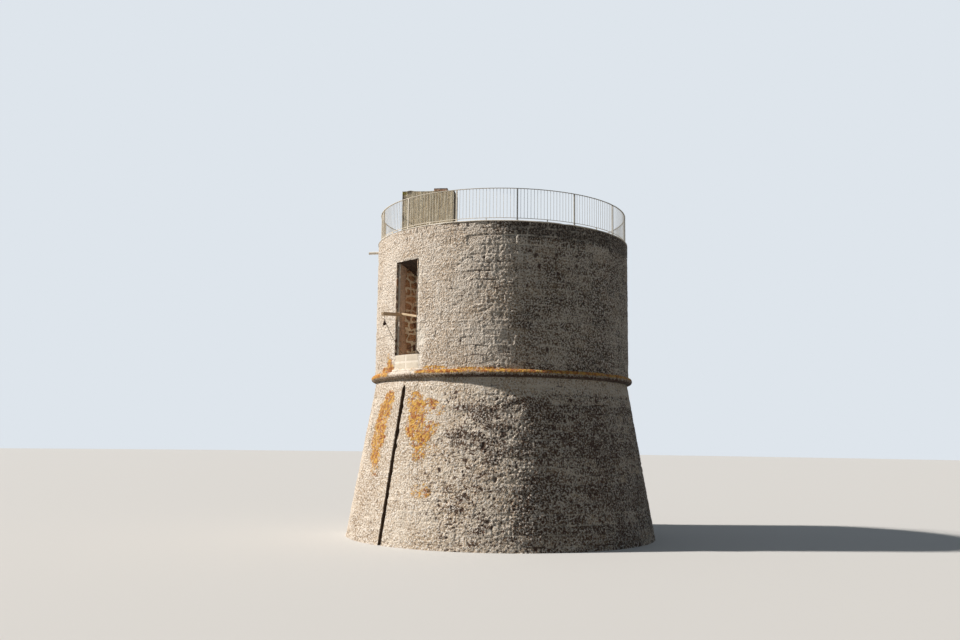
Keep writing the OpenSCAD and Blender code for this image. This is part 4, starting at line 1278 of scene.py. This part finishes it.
# %% Build the soffit
def soffit():
    """The underside of the passage's roof, from the room out to the face."""
    path = [(ROOM_Y, LOW_TOP), (LOW_Y, LOW_TOP), (SOFFIT_Y, DOOR_TOP), (STEP_Y, DOOR_TOP), (FACE_Y, DOOR_TOP)]
    line = []
    for (y1, z1), (y2, z2) in zip(path[:-1], path[1:]):
        n = max(2, int(round(math.hypot(y2 - y1, z2 - z1) / 0.026)))
        line += [(y1 + (y2 - y1) * k / n, z1 + (z2 - z1) * k / n) for k in range(n)]
    line = np.array(line + [path[-1]])
    along = np.concatenate([[0], np.cumsum(np.hypot(*np.diff(line, axis=0).T))])
    ahead = np.gradient(line, axis=0)
    ahead /= np.linalg.norm(ahead, axis=1)[:, None]
    half = np.where(line[:, 0] < STEP_Y + 0.001, DOOR_SIDE, PASSAGE_SIDE) - 0.001
    u = np.linspace(1, -1, 36)
    x = u[:, None] * half[None]
    p = vector(x, line[None, :, 0] + 0 * x, line[None, :, 1] + 0 * x)
    layout = lay_courses(-1.0, 1.0, 9.0, tall=(0.16, 0.28), long=(0.22, 0.38), seed=45)
    out, wear = masonry_skin(p, along[None] + 3.0 + 0 * x, x, layout, 560)
    down = vector(0.0, ahead[:, 1], -ahead[:, 0])[None]
    down = down * np.sign(-down[..., 2:3])
    marks = {"wear": wear, "growth": vector(0 * x, 0.45, 0.0)}
    front, back = p + down * out[..., None], p + down * 0.001
    piece = add_sheet("soffit_painted_shade", front, back, marks=marks)
    piece.data.materials.append(soffit_shade_stone)
    return piece


soffit()
tell("underside", "soffit")

# %% [markdown]
# ## New blocks under the sill
# The wall under the sill was made good with pale cut blocks. Each one is a bar with
# rounded ends and edges, roughened a little, so the joints between them read as
# joints.

# %% Rounded blocks
def rounded_block(low, high, cell, edge, seed, rough_by):
    """Rings of a block that runs along X, with worn edges."""
    low, high = np.array(low, float), np.array(high, float)
    size, middle = high - low, (high + low) / 2
    n = max(4, int(size[0] / cell))
    near_end, far_end = [0, 0, 0, edge * 0.3], [size[0] - edge * 0.3, size[0], size[0], size[0]]
    x = np.concatenate([near_end, np.linspace(edge, size[0] - edge, n), far_end])
    shrink = np.concatenate([[0.02, 0.35, 0.7], [1], np.ones(n), [1], [0.7, 0.35, 0.02]])
    drop = np.concatenate([[edge] * 3, [edge * 0.35], np.zeros(n), [edge * 0.35], [edge] * 3])
    hy, hz = size[1] / 2, size[2] / 2
    ny, nz = max(3, int(size[1] / cell)), max(3, int(size[2] / cell))
    across, upwards = np.linspace(-1, 1, ny, endpoint=False), np.linspace(-1, 1, nz, endpoint=False)
    sides = [(u, -1.0) for u in across] + [(1.0, u) for u in upwards]
    sides += [(-u, 1.0) for u in across] + [(-1.0, -u) for u in upwards]
    s = np.array(sides)
    y = s[None, :, 0] * (hy - drop[:, None]) * shrink[:, None]
    z = s[None, :, 1] * (hz - drop[:, None]) * shrink[:, None]
    corner = (np.abs(s[:, 0]) > 0.999) & (np.abs(s[:, 1]) > 0.999)
    y = y - np.sign(s[None, :, 0]) * corner[None] * edge * 0.3 * shrink[:, None]
    z = z - np.sign(s[None, :, 1]) * corner[None] * edge * 0.3 * shrink[:, None]
    grid = vector(x[:, None] - size[0] / 2 + 0 * y, y, z) + middle
    away = grid - middle
    away /= np.maximum(np.linalg.norm(away / (size / 2), axis=-1, keepdims=True), 0.2) * np.max(size)
    dents = 1.2 * pits(grid, 0.08, 0.3, seed + 9)
    amount = rough(grid, 0.11, seed) + 0.6 * rough(grid, 0.04, seed + 5) - dents
    return grid + away * amount[..., None] * rough_by


def bowed(grid):
    """The same block with its front bent to the round of the wall."""
    bow = np.sqrt(DRUM_R**2 - grid[..., 0] ** 2) - DRUM_R
    grid[..., 1] = grid[..., 1] - bow * (grid[..., 1] < -4.1)
    return grid


print("a block's grid:", rounded_block((0, 0, 0), (0.5, 0.2, 0.2), 0.03, 0.012, 1, 0.0).shape)

# %% [markdown]
# Two courses of two blocks fill the gap, in a bed of paler mortar, and rough packing
# fills in on the cordon below them.

# %% Build the new blocks
block_material = mortar_material("new_block", light=(236, 226, 208), dark=(214, 203, 184))
BLOCK_L, BLOCK_JOINT = 0.545, 0.046
BLOCK_LOW = 5.185
block_h = (SILL - BLOCK_LOW - BLOCK_JOINT) / 2
for row in (0, 1):
    for column in (0, 1):
        left = -DOOR_SIDE + 0.012 + column * (BLOCK_L + BLOCK_JOINT / 4)
        low_z = BLOCK_LOW + row * (block_h + BLOCK_JOINT)
        block_low = (left + 0.002, -4.203, low_z + 0.001)
        block_high = (left + BLOCK_L - BLOCK_JOINT / 2 - 0.002, -3.952, low_z + block_h - 0.001)
        seed = 600 + 7 * row + column
        grid = bowed(rounded_block(block_low, block_high, cell=0.03, edge=0.012, seed=seed, rough_by=0.012))
        block = add_bar(f"sill_block_{row}{column}", grid)
        block.data.materials.append(block_material)
BED_LOW, BED_HIGH = (-0.508, -4.199, 5.137), (0.588, -3.96, 5.634)
grid = bowed(rounded_block(BED_LOW, BED_HIGH, cell=0.04, edge=0.004, seed=640, rough_by=0.006))
bed = add_bar("sill_block_mortar", grid)
bed.data.materials.append(new_mortar)
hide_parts("sill_blocks")


def packing():
    """Mortar and small stones that fill in above the cordon, below the new blocks."""
    az = np.linspace(-8.6, 9.8, 74)[:, None]
    section = np.array([
        (4.150, 5.120), (4.215, 5.112), (4.262, 5.108), (4.268, 5.135),
        (4.248, 5.165), (4.222, 5.190), (4.204, 5.205), (4.160, 5.200),
    ])
    middle = np.array([4.205, 5.150])
    r, z = section[:, 0][None] + 0 * az, section[:, 1][None] + 0 * az
    p = on_wall(r, az + 0 * r, z)
    at_ends = smooth(np.abs(az - 0.6), 7.4, 9.2)
    swell = 1.0 + 0.45 * lumps(p, 0.085, 651) + 0.3 * rough(p, 0.05, 653) - 0.5 * at_ends
    r, z = middle[0] + (r - middle[0]) * swell, middle[1] + (z - middle[1]) * swell
    z = np.clip(z, 5.09, 5.225)
    pit = 0.55 * smooth(-lumps(p, 0.085, 651), 0.10, 0.45)
    wear = vector(0.5 + 0.5 * rough(p, 0.1, 655), 0.1, pit)
    growth = vector(0.42 + 0.25 * rough(p, 0.2, 657), 0.1, 0.55 + 0.4 * rough(p, 0.12, 659))
    marks = {"wear": wear, "growth": np.clip(growth, 0, 1)}
    piece = add_bar("cordon_packing", on_wall(r, az + 0 * r, z), marks, sharp=70)
    piece.data.materials.append(drum_stone)


packing()
tell("new blocks", "sill_block")

# %% [markdown]
# ## Stair head
# The block-shaped stair head is rendered, and rain has drawn long streaks down it.
# Its sheet goes all the way round the four walls, with a hole for the doorway on
# the terrace side, and a second sheet lies on the roof.

# %% The render's material
def render_material():
    """Lime render with streaks, stains, a little green growth and a bare place."""
    material, tree, shader, place = new_material("stair_head_render", roughness=0.92)
    growth = marks_of(tree, "growth")
    grain = grain_at(tree, place, scale=6.0)
    streaks = streaks_at(tree, place, scale=21.0, stretch=0.05)
    wide = streaks_at(tree, place, scale=3.2, stretch=0.10)
    colour = layer(tree, grain["Shade"], paint(234, 220, 188), paint(255, 250, 228))
    colour = tint(tree, colour, streaks, 0.50, (204, 178, 140))
    colour = tint(tree, colour, wide, 0.25, (200, 180, 142))
    stain = growth_at(tree, place, amount=growth[1], scale=6.0, edge=5.0)
    colour = tint(tree, colour, stain, 0.8, (74, 62, 50))
    green = growth_at(tree, place, amount=growth[0], scale=10.0, edge=6.0)
    colour = layer(tree, green, colour, paint(150, 142, 72))
    bare = growth_at(tree, place, amount=growth[2], scale=5.0, edge=8.0)
    colour = layer(tree, bare, colour, paint(248, 234, 208))
    holes = holes_at(tree, place, scale=26.0, amount=0.42)
    colour = tint(tree, colour, holes, 0.6, (92, 78, 60))
    height = plus(tree, grain["Height"], times(tree, streaks, -0.5))
    height = minus(tree, height, times(tree, holes, 0.5))
    finish(tree, shader, colour, height, reach=0.030)
    return material


stair_head_render = render_material()
print("material:", stair_head_render.name)

# %% [markdown]
# The stair head's walls are worked out about its own middle, and then turned and
# moved to its place on the terrace.

# %% Build the stair head
HUT_W, HUT_D, HUT_TOP = 1.690, 0.900, 1.780
HUT_DOOR_W, HUT_DOOR_H = 0.700, 1.420
HUT_R, HUT_FLOOR = 2.8, 9.280
hut_az, hut_turn = math.radians(-14.0), math.radians(40.0)
hut_place = np.array([HUT_R * math.sin(hut_az), -HUT_R * math.cos(hut_az), HUT_FLOOR])


def from_hut(p):
    """From the stair head's own axes to the tower's."""
    c, s = math.cos(hut_turn), math.sin(hut_turn)
    return vector(c * p[..., 0] - s * p[..., 1], s * p[..., 0] + c * p[..., 1], p[..., 2]) + hut_place


def hut_walls():
    """The render on the four walls, as one sheet that goes all the way round."""
    hw, hd, door = HUT_W / 2, HUT_D / 2, HUT_DOOR_W / 2
    # both ends of each stretch, and the way that it faces
    sides = [
        ((-hw, -hd), (hw, -hd), (0, -1)), ((hw, -hd), (hw, hd), (1, 0)), ((hw, hd), (door, hd), (0, 1)),
        ((door, hd), (-door, hd), (0, 1)), ((-door, hd), (-hw, hd), (0, 1)), ((-hw, hd), (-hw, -hd), (-1, 0)),
    ]
    line = []
    for (x1, y1), (x2, y2), n in sides:
        count = int(round(math.hypot(x2 - x1, y2 - y1) / 0.030))
        line += [(x1 + (x2 - x1) * k / count, y1 + (y2 - y1) * k / count, *n) for k in range(count)]
    line = np.array(line)
    normal = line[:, 2:] + np.roll(line[:, 2:], 1, 0)
    normal /= np.linalg.norm(normal, axis=1)[:, None]
    z = lines(0.004, HUT_DOOR_H, HUT_TOP, cell=0.030)
    n = vector(normal[:, 0], normal[:, 1], 0.0)[:, None]
    p = vector(line[:, 0][:, None] + 0 * z, line[:, 1][:, None] + 0 * z, z[None] + 0 * line[:, :1])
    layout = lay_courses(-0.1, 2.0, 12.0, tall=(0.24, 0.36), long=(0.4, 0.7), seed=61)
    along = np.concatenate([[0], np.cumsum(np.hypot(*np.diff(line[:, :2], axis=0).T))])[:, None] + 0 * z
    wavy_s, wavy_z = along + 0.02 * rough(p, 0.3, 701), p[..., 2] + 0.02 * rough(p, 0.3, 703)
    _, gap, _ = find_stones(layout, wavy_s, wavy_z)
    out = 0.010 + 0.006 * rough(p, 0.35, 705) + 0.004 * rough(p, 0.09, 709) - 0.006 * pits(p, 0.12, 0.3, 711)
    out = out - 0.004 * fall(gap, 0.0, 0.03) * smooth(rough(p, 0.6, 713), 0.0, 0.4)
    corner = (np.abs(np.abs(p[..., 0]) - hw) < 0.002) & (np.abs(np.abs(p[..., 1]) - hd) < 0.002)
    out = out - 0.008 * corner - 0.010 * corner * rough(p, 0.15, 715)
    front, back = p + n * np.clip(out, 0.002, 0.03)[..., None], p + n * 0.001
    middle = (np.roll(line, -1, 0) + line)[:, :2] / 2
    in_door = (np.abs(middle[:, 0]) < door) & (middle[:, 1] > hd - 0.002)
    present = ~(in_door[:, None] & ((z[1:] + z[:-1])[None] / 2 < HUT_DOOR_H))
    outer = line[:, 1][:, None] < -hd + 0.001
    left_edge = np.exp(-np.maximum(p[..., 0] + hw, 0) / 0.10) * outer
    # rain stains the left edge, the top and the foot; the whole of the right side, which
    # faces away from the light, is darkened as painted shade
    stain = 0.30 + 0.12 * rough(p, 0.25, 717) + 0.45 * left_edge + 0.18 * smooth(p[..., 2], 1.5, 1.75)
    stain = stain + 0.25 * fall(p[..., 2], 0.3, 0.6)
    stain = stain + 0.55 * (line[:, 2][:, None] > 0.5)
    green = 0.72 * np.exp(-np.hypot((p[..., 0] + hw - 0.05) / 0.22, (p[..., 2] - 1.72) / 0.13) ** 2) * outer
    bare = 0.55 * np.exp(-np.hypot((p[..., 0] + 0.62) / 0.16, (p[..., 2] - 1.74) / 0.07) ** 2) * outer
    marks = {"growth": vector(green, np.clip(stain, 0, 0.95), bare)}
    front, back = from_hut(front), from_hut(back)
    piece = add_sheet("stair_head_coat", front, back, present, closed=True, marks=marks)
    piece.data.materials.append(stair_head_render)
    return piece


def hut_roof():
    """The render on the roof, with a lump of it near the front left corner."""
    hx, hy = HUT_W / 2 + 0.012, HUT_D / 2 + 0.012
    x, y = np.meshgrid(np.linspace(-hx, hx, 60), np.linspace(-hy, hy, 34), indexing="ij")
    p = vector(x, y, HUT_TOP)
    edge = np.minimum(hx - np.abs(x), hy - np.abs(y))
    up = 0.012 + 0.010 * rough(p, 0.3, 721) + 0.006 * rough(p, 0.1, 725) - 0.008 * fall(edge, 0.0, 0.03)
    up = up + 0.045 * np.exp(-np.hypot((x + 0.60) / 0.14, (y + HUT_D / 2 - 0.10) / 0.10) ** 2)
    front = p + vector(0.0, 0.0, np.clip(up, 0.002, 0.08))
    back = p + np.array([0, 0, 0.001])
    bare = 0.6 * np.exp(-np.hypot((x + 0.60) / 0.17, (y + HUT_D / 2 - 0.08) / 0.14) ** 2)
    marks = {"growth": vector(0.5 * np.exp(-np.hypot(x + 0.8, y + 0.4) / 0.2), 0.55, bare)}
    piece = add_sheet("stair_head_top", from_hut(front), from_hut(back), marks=marks)
    piece.data.materials.append(stair_head_render)
    return piece


hut_walls()
hut_roof()
tell("render", "stair_head")

# %% [markdown]
# One flat stone lies on the front half of the roof, darker on its upper part.

# %% Build the cap stone
cap_stone = rubble_material(
    "cap_stone", light=(230, 198, 176), dark=(184, 150, 130), mortar=(230, 208, 188), crust=(58, 48, 42),
    hollows=0.05, knobs=0.2,
)
CAP_X, CAP_HALF, CAP_Y = 0.390, 0.225, 0.08
cap_low = (CAP_X - CAP_HALF, CAP_Y - 0.45, HUT_TOP + 0.001)
cap_high = (CAP_X + CAP_HALF, CAP_Y - 0.15, HUT_TOP + 0.125)
grid = rounded_block(cap_low, cap_high, cell=0.025, edge=0.014, seed=731, rough_by=0.030)
# darker on its upper part only
cap_upper_dark = 0.05 + 0.8 * smooth(grid[..., 2], HUT_TOP + 0.065, HUT_TOP + 0.095)
marks = {"wear": np.full(grid.shape, 0.5) * [1, 1, 0], "growth": vector(0.0, cap_upper_dark, 0.0)}
cap = add_bar("stair_head_cap_stone", from_hut(grid), marks)
cap.data.materials.append(cap_stone)
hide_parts("stair_head_cap")
tell("cap stone", "stair_head_cap")

# %% [markdown]
# ## Old timber
# The jib and the crossbar are rough sawn timber that has stood in the weather: grey
# in patches, split along the grain, with its edges worn round. The splits are grooves in
# the mesh, and the finer grain is in the material.

# %% The timber's material
timber_grain, gi, go = new_group("timber_grain", {"Place": None, "Scale": 14.0}, ["Shade", "Height"])
tree = timber_grain
long_way = add(tree, "VectorMath", {0: gi["Place"], 1: (1.0, 0.07, 1.0)}, operation="MULTIPLY").outputs[0]
fibre = noise_at(tree, long_way, scale=gi["Scale"], detail=6.0, roughness=0.7)
thin = noise_at(tree, long_way, scale=times(tree, gi["Scale"], 7.0), detail=2.0)
mixed = plus(tree, times(tree, fibre, 0.6), times(tree, thin, 0.4))
tree.links.new(step_between(tree, mixed, low=0.3, high=0.7), go["Shade"])
tree.links.new(mixed, go["Height"])


def timber_material(name, light, dark, grey, grey_amount, to_bar):
    """Sawn timber gone grey. The last value is the matrix that puts the bar in its place."""
    material, tree, shader, place = new_material(name, roughness=0.85)
    # the grain runs along the bar, so the place is turned into the bar's own axes
    turn = Matrix(to_bar).to_3x3().inverted()
    rows = []
    for row in turn:
        dot = add(tree, "VectorMath", {0: place, 1: tuple(row)}, operation="DOT_PRODUCT")
        rows.append(dot.outputs["Value"])
    own = add(tree, "CombineXYZ", {"X": rows[0], "Y": rows[1], "Z": rows[2]}).outputs[0]
    grain = use(tree, timber_grain, {"Place": own, "Scale": 26.0})
    colour = layer(tree, grain["Shade"], paint(*dark), paint(*light))
    weather = growth_at(tree, place, amount=grey_amount, scale=7.0, edge=3.0)
    colour = layer(tree, weather, colour, paint(*grey))
    finish(tree, shader, colour, grain["Height"], reach=0.006)
    return material


def timber_grid(length, width, depth, seed, split, cell=0.012):
    """Rings of a bar along -Y from the origin, with splits, worn edges and rough ends."""
    n, ends = int(length / cell), 4
    y = np.concatenate([np.zeros(ends), np.linspace(0.0, length, n), np.full(ends, length)])
    shrink = np.concatenate([[0.02, 0.4, 0.75, 0.95], np.ones(n), [0.95, 0.75, 0.4, 0.02]])
    t = np.linspace(0, 2 * math.pi, 56, endpoint=False)
    square = (np.abs(np.cos(t)) ** 9 + np.abs(np.sin(t)) ** 9) ** (-1 / 9)
    x, z = np.cos(t) * square * width / 2, np.sin(t) * square * depth / 2
    grid = vector(x[None] * shrink[:, None], -y[:, None] + 0 * x[None], z[None] * shrink[:, None])
    q = grid * [1, 0.08, 1]
    away = grid * [1, 0, 1]
    away /= np.maximum(np.linalg.norm(away, axis=-1, keepdims=True), 1e-4)
    groove = fall(np.abs(rough(q, 0.05, seed)), 0.0, 0.10)
    edge = np.clip(np.minimum(y, length - y) / 0.05, 0, 1)[:, None]
    splits = split * groove * smooth(rough(grid, 0.4, seed + 9), -0.3, 0.3)
    out = 0.003 * rough(grid, 0.15, seed + 3) + 0.0015 * rough(q, 0.02, seed + 7) - splits
    grid = grid + away * out[..., None] * shrink[:, None, None]
    grid[..., 1] += 0.010 * rough(grid * [1, 0, 1], 0.03, seed + 11) * (1 - edge)
    grid[..., 0] += 0.004 * rough(grid * [0, 1, 0], 0.5, seed + 13)
    grid[..., 2] += 0.004 * rough(grid * [0, 1, 0], 0.5, seed + 15)
    return grid


def placed(grid, matrix):
    """The grid's points after that matrix."""
    m = np.array(matrix)
    return grid @ m[:3, :3].T + m[:3, 3]


print("timber's shades come from", timber_grain.name)

# %% [markdown]
# The jib lies at the left side of the doorway. It points out and a little to the
# right, and dips by a few degrees. The crossbar runs across the passage, from the
# right side up to the left.

# %% Build the jib and the crossbar
TIMBER_Z = SILL + 1.290


def turned_place(at, *turns):
    """The matrix for a place and for turns there, each in degrees about an axis."""
    matrix = Matrix.Translation(at)
    for degrees, axis in turns:
        matrix = matrix @ Matrix.Rotation(math.radians(degrees), 4, axis)
    return matrix


jib_place = turned_place((-0.430, -4.000, TIMBER_Z), (14, "Z"), (5.5, "X"))
jib_material = timber_material(
    "weathered_timber", light=(232, 208, 176), dark=(146, 122, 96), grey=(200, 186, 164), grey_amount=0.45,
    to_bar=jib_place,
)
jib_grid = timber_grid(length=1.585, width=0.090, depth=0.105, seed=801, split=0.007) + [0, 0.597, 0]
jib = add_bar("jib_timber", placed(jib_grid, jib_place))
jib.data.materials.append(jib_material)
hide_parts("jib")

bar_place = turned_place((PASSAGE_SIDE, -4.050, TIMBER_Z - 0.144), (11, "Y"), (-90, "Z"))
bar_material = timber_material(
    "pale_timber", light=(232, 214, 184), dark=(196, 170, 134), grey=(206, 194, 174), grey_amount=0.4,
    to_bar=bar_place,
)
bar_grid = timber_grid(length=0.884, width=0.060, depth=0.065, seed=841, split=0.004, cell=0.010)
bar_grid = bar_grid + [0, 0.058, 0]
crossbar = add_bar("crossbar_timber", placed(bar_grid, bar_place))
crossbar.data.materials.append(bar_material)
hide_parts("crossbar")
tell("timbers", "jib_timber", "crossbar_timber")

# %% [markdown]
# ## Metal, rope and the plain surfaces
# These keep their CAD shape and get a finish: galvanised rails gone dull and stained
# in patches, rusted hoist iron, a grey wooden sheave, a plastic spout, and lime
# plaster, paving and cement where the tower is seen from above or through the door.

# %% Finishes for the CAD nodes
def metal_material(name, clean, stain, amount, scale, roughness, metallic):
    """Worn metal. Amount is how much of it the stain covers, and scale how fine the grain is."""
    material, tree, shader, place = new_material(name, roughness=roughness, metallic=metallic)
    grain = grain_at(tree, place, scale=scale)
    colour = layer(tree, grain["Shade"], paint(*[int(v * 0.82) for v in clean]), paint(*clean))
    rust = growth_at(tree, place, amount=amount, scale=scale * 2.0, edge=6.0)
    colour = layer(tree, rust, colour, paint(*stain))
    dull = calc(tree, "MULTIPLY_ADD", rust, 0.35, roughness, clamp=True)
    finish(
        tree, shader, colour, plus(tree, grain["Height"], times(tree, rust, 0.5)), reach=0.0012,
        roughness=dull,
    )
    return material


def plain_material(name, light, dark, stain, amount, scale, reach, holes=0.3):
    """A matt surface between two shades, with stains and small holes. Reach is the bump's height."""
    material, tree, shader, place = new_material(name, roughness=0.9)
    grain = grain_at(tree, place, scale=scale)
    colour = layer(tree, grain["Shade"], paint(*dark), paint(*light))
    mark = growth_at(tree, place, amount=amount, scale=scale * 0.3, edge=3.5)
    colour = layer(tree, times(tree, mark, 0.7), colour, paint(*stain))
    hole = holes_at(tree, place, scale=scale * 4.0, amount=holes)
    colour = layer(tree, times(tree, hole, 0.45), colour, paint(*[int(v * 0.5) for v in dark]))
    finish(tree, shader, colour, minus(tree, grain["Height"], times(tree, hole, 0.5)), reach=reach)
    return material


def dress(material, *names):
    """Gives CAD nodes a material."""
    for name in names:
        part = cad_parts[name]
        part.data.materials.clear()
        part.data.materials.append(material)


print("CAD nodes to dress:", len(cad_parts))

# %% [markdown]
# Each finish goes to the nodes that are made of it.

# %% Dress the CAD nodes
rail_steel = metal_material(
    "rail_steel", clean=(186, 184, 176), stain=(150, 124, 100), amount=0.26, scale=9.0, roughness=0.5,
    metallic=0.2,
)
steel_painted_lit = metal_material(
    "steel_painted_lit", clean=(250, 242, 226), stain=(196, 174, 146), amount=0.20, scale=9.0, roughness=0.6,
    metallic=0.0,
)
hoist_iron = metal_material(
    "hoist_iron", clean=(66, 58, 54), stain=(104, 62, 38), amount=0.50, scale=24.0, roughness=0.60,
    metallic=0.60,
)
sheave_wood = plain_material(
    "sheave_wood", light=(96, 78, 58), dark=(58, 44, 32), stain=(40, 32, 26), amount=0.4, scale=30.0,
    reach=0.002,
)
spout_plastic = plain_material(
    "spout_plastic", light=(255, 252, 244), dark=(242, 238, 228), stain=(180, 172, 156), amount=0.22,
    scale=6.0, reach=0.001, holes=0.1,
)
core_masonry = plain_material(
    "core_masonry", light=(186, 168, 146), dark=(130, 112, 92), stain=(84, 74, 62), amount=0.42, scale=5.0,
    reach=0.02,
)
# painted shade: the base core, seen only inside the chase, is painted dark like the shade in the groove
chase_shade_masonry = plain_material(
    "chase_shade_masonry", light=(120, 100, 80), dark=(72, 58, 46), stain=(48, 38, 30), amount=0.45, scale=5.0,
    reach=0.02,
)
floor_paving = plain_material(
    "floor_paving", light=(150, 138, 122), dark=(110, 100, 88), stain=(76, 68, 58), amount=0.4, scale=4.0,
    reach=0.008,
)
vault_lime = plain_material(
    "vault_lime", light=(206, 196, 180), dark=(160, 148, 130), stain=(104, 94, 80), amount=0.42, scale=3.5,
    reach=0.010,
)
terrace_floor = plain_material(
    "terrace_floor", light=(176, 168, 156), dark=(134, 127, 116), stain=(92, 86, 76), amount=0.42, scale=2.5,
    reach=0.006,
)

# painted light: the railing's panels on the lit side get a paler, matt copy of the steel
names = list(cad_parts)
for panel in [n for n in names if n.startswith("railing_panel_")]:
    x, y, _ = np.mean([v.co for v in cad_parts[panel].data.vertices], axis=0)
    panel_az = math.degrees(math.atan2(x, -y))
    dress(steel_painted_lit if -90.0 < panel_az < 45.0 else rail_steel, panel)
dress(chase_shade_masonry, "battered_base")
dress(core_masonry, *[n for n in names if n.startswith("drum_wall_")])
dress(core_masonry, "door_jamb_left", "door_jamb_right", "door_head", "kerb", "cordon", "sill_blocks")
dress(block_material, "door_sill")
dress(terrace_floor, "roof_deck")
dress(floor_paving, "chamber_floor")
dress(vault_lime, "vault_front", "vault_back")
dress(stair_head_render, "stair_head_walls", "stair_head_roof")
dress(cap_stone, "stair_head_cap")
dress(coping_mortar, "coping")
dress(spout_plastic, "waterspout")
dress(hoist_iron, "pulley_block", "rope_eye")
dress(sheave_wood, "pulley_sheave")
dress(jib_material, "jib")
dress(bar_material, "crossbar")

rope_fibre = plain_material(
    "rope_fibre", light=(158, 138, 108), dark=(112, 94, 70), stain=(90, 76, 58), amount=0.3, scale=60.0,
    reach=0.0015,
)
dress(rope_fibre, "hoist_rope")
for piece in (rope, sill_knot, pulley_knot):
    piece.data.materials.append(rope_fibre)
print("finishes:", len(bpy.data.materials))

# %% [markdown]
# ## Floor and light
# A pale floor and a pale background, a wide soft key light from the left and a weak
# even fill. The background's paleness is for camera rays only, so it adds no light.

# %% Floor, background and key light
def seen_directly(tree):
    """1 for what the camera, a mirror or a glass shows, 0 for light that bounces."""
    ray = add(tree, "LightPath").outputs
    seen = calc(tree, "MAXIMUM", ray["Is Camera Ray"], ray["Is Glossy Ray"])
    return calc(tree, "MAXIMUM", seen, ray["Is Transmission Ray"])


FLOOR_R, FLOOR_CORNERS = 220, 96
floor_mesh = bpy.data.meshes.new("studio_floor")
angles = np.linspace(0, 2 * math.pi, FLOOR_CORNERS, endpoint=False)
rim = [(FLOOR_R * math.cos(a), FLOOR_R * math.sin(a), -0.001) for a in angles]
floor_mesh.from_pydata(rim, [], [list(range(FLOOR_CORNERS))])
studio_floor = bpy.data.objects.new("studio_floor", floor_mesh)
bpy.context.scene.collection.objects.link(studio_floor)
floor_material, tree, shader, place = new_material("studio_floor", roughness=0.9)
floor_colour = layer(tree, seen_directly(tree), paint(112, 109, 102), paint(212, 212, 210))
tree.links.new(floor_colour, shader.inputs["Base Color"])
floor_mesh.materials.append(floor_material)

world = bpy.data.worlds.new("studio")
bpy.context.scene.world = world
world.use_nodes = True
tree = world.node_tree
tree.nodes.clear()
fill = add(tree, "Background", {"Color": (0.74, 0.86, 1.0, 1.0), "Strength": 0.122})
pale = add(tree, "Background", {"Color": paint(222, 229, 236), "Strength": 1.0})
mix = add(tree, "MixShader", {0: seen_directly(tree), 1: fill.outputs[0], 2: pale.outputs[0]})
add(tree, "OutputWorld", {"Surface": mix.outputs[0]})

KEY_TURN, KEY_UP = math.radians(-40.0), math.radians(39.0)
key_data = bpy.data.lights.new("key", "SUN")
key_data.energy = 4.7
key_data.angle = math.radians(2.5)
key_data.color = (1.0, 0.932, 0.862)
key = bpy.data.objects.new("key", key_data)
bpy.context.scene.collection.objects.link(key)
flat = math.cos(KEY_UP)
towards = Vector((math.sin(KEY_TURN) * flat, -math.cos(KEY_TURN) * flat, math.sin(KEY_UP)))
key.rotation_mode = "QUATERNION"
key.rotation_quaternion = towards.to_track_quat("Z", "Y")
bpy.context.scene.view_settings.view_transform = "Standard"
print("key light comes from", [round(v, 2) for v in towards])

# %% Count the faces
print("faces in all:", sum(len(p.data.polygons) for p in made))
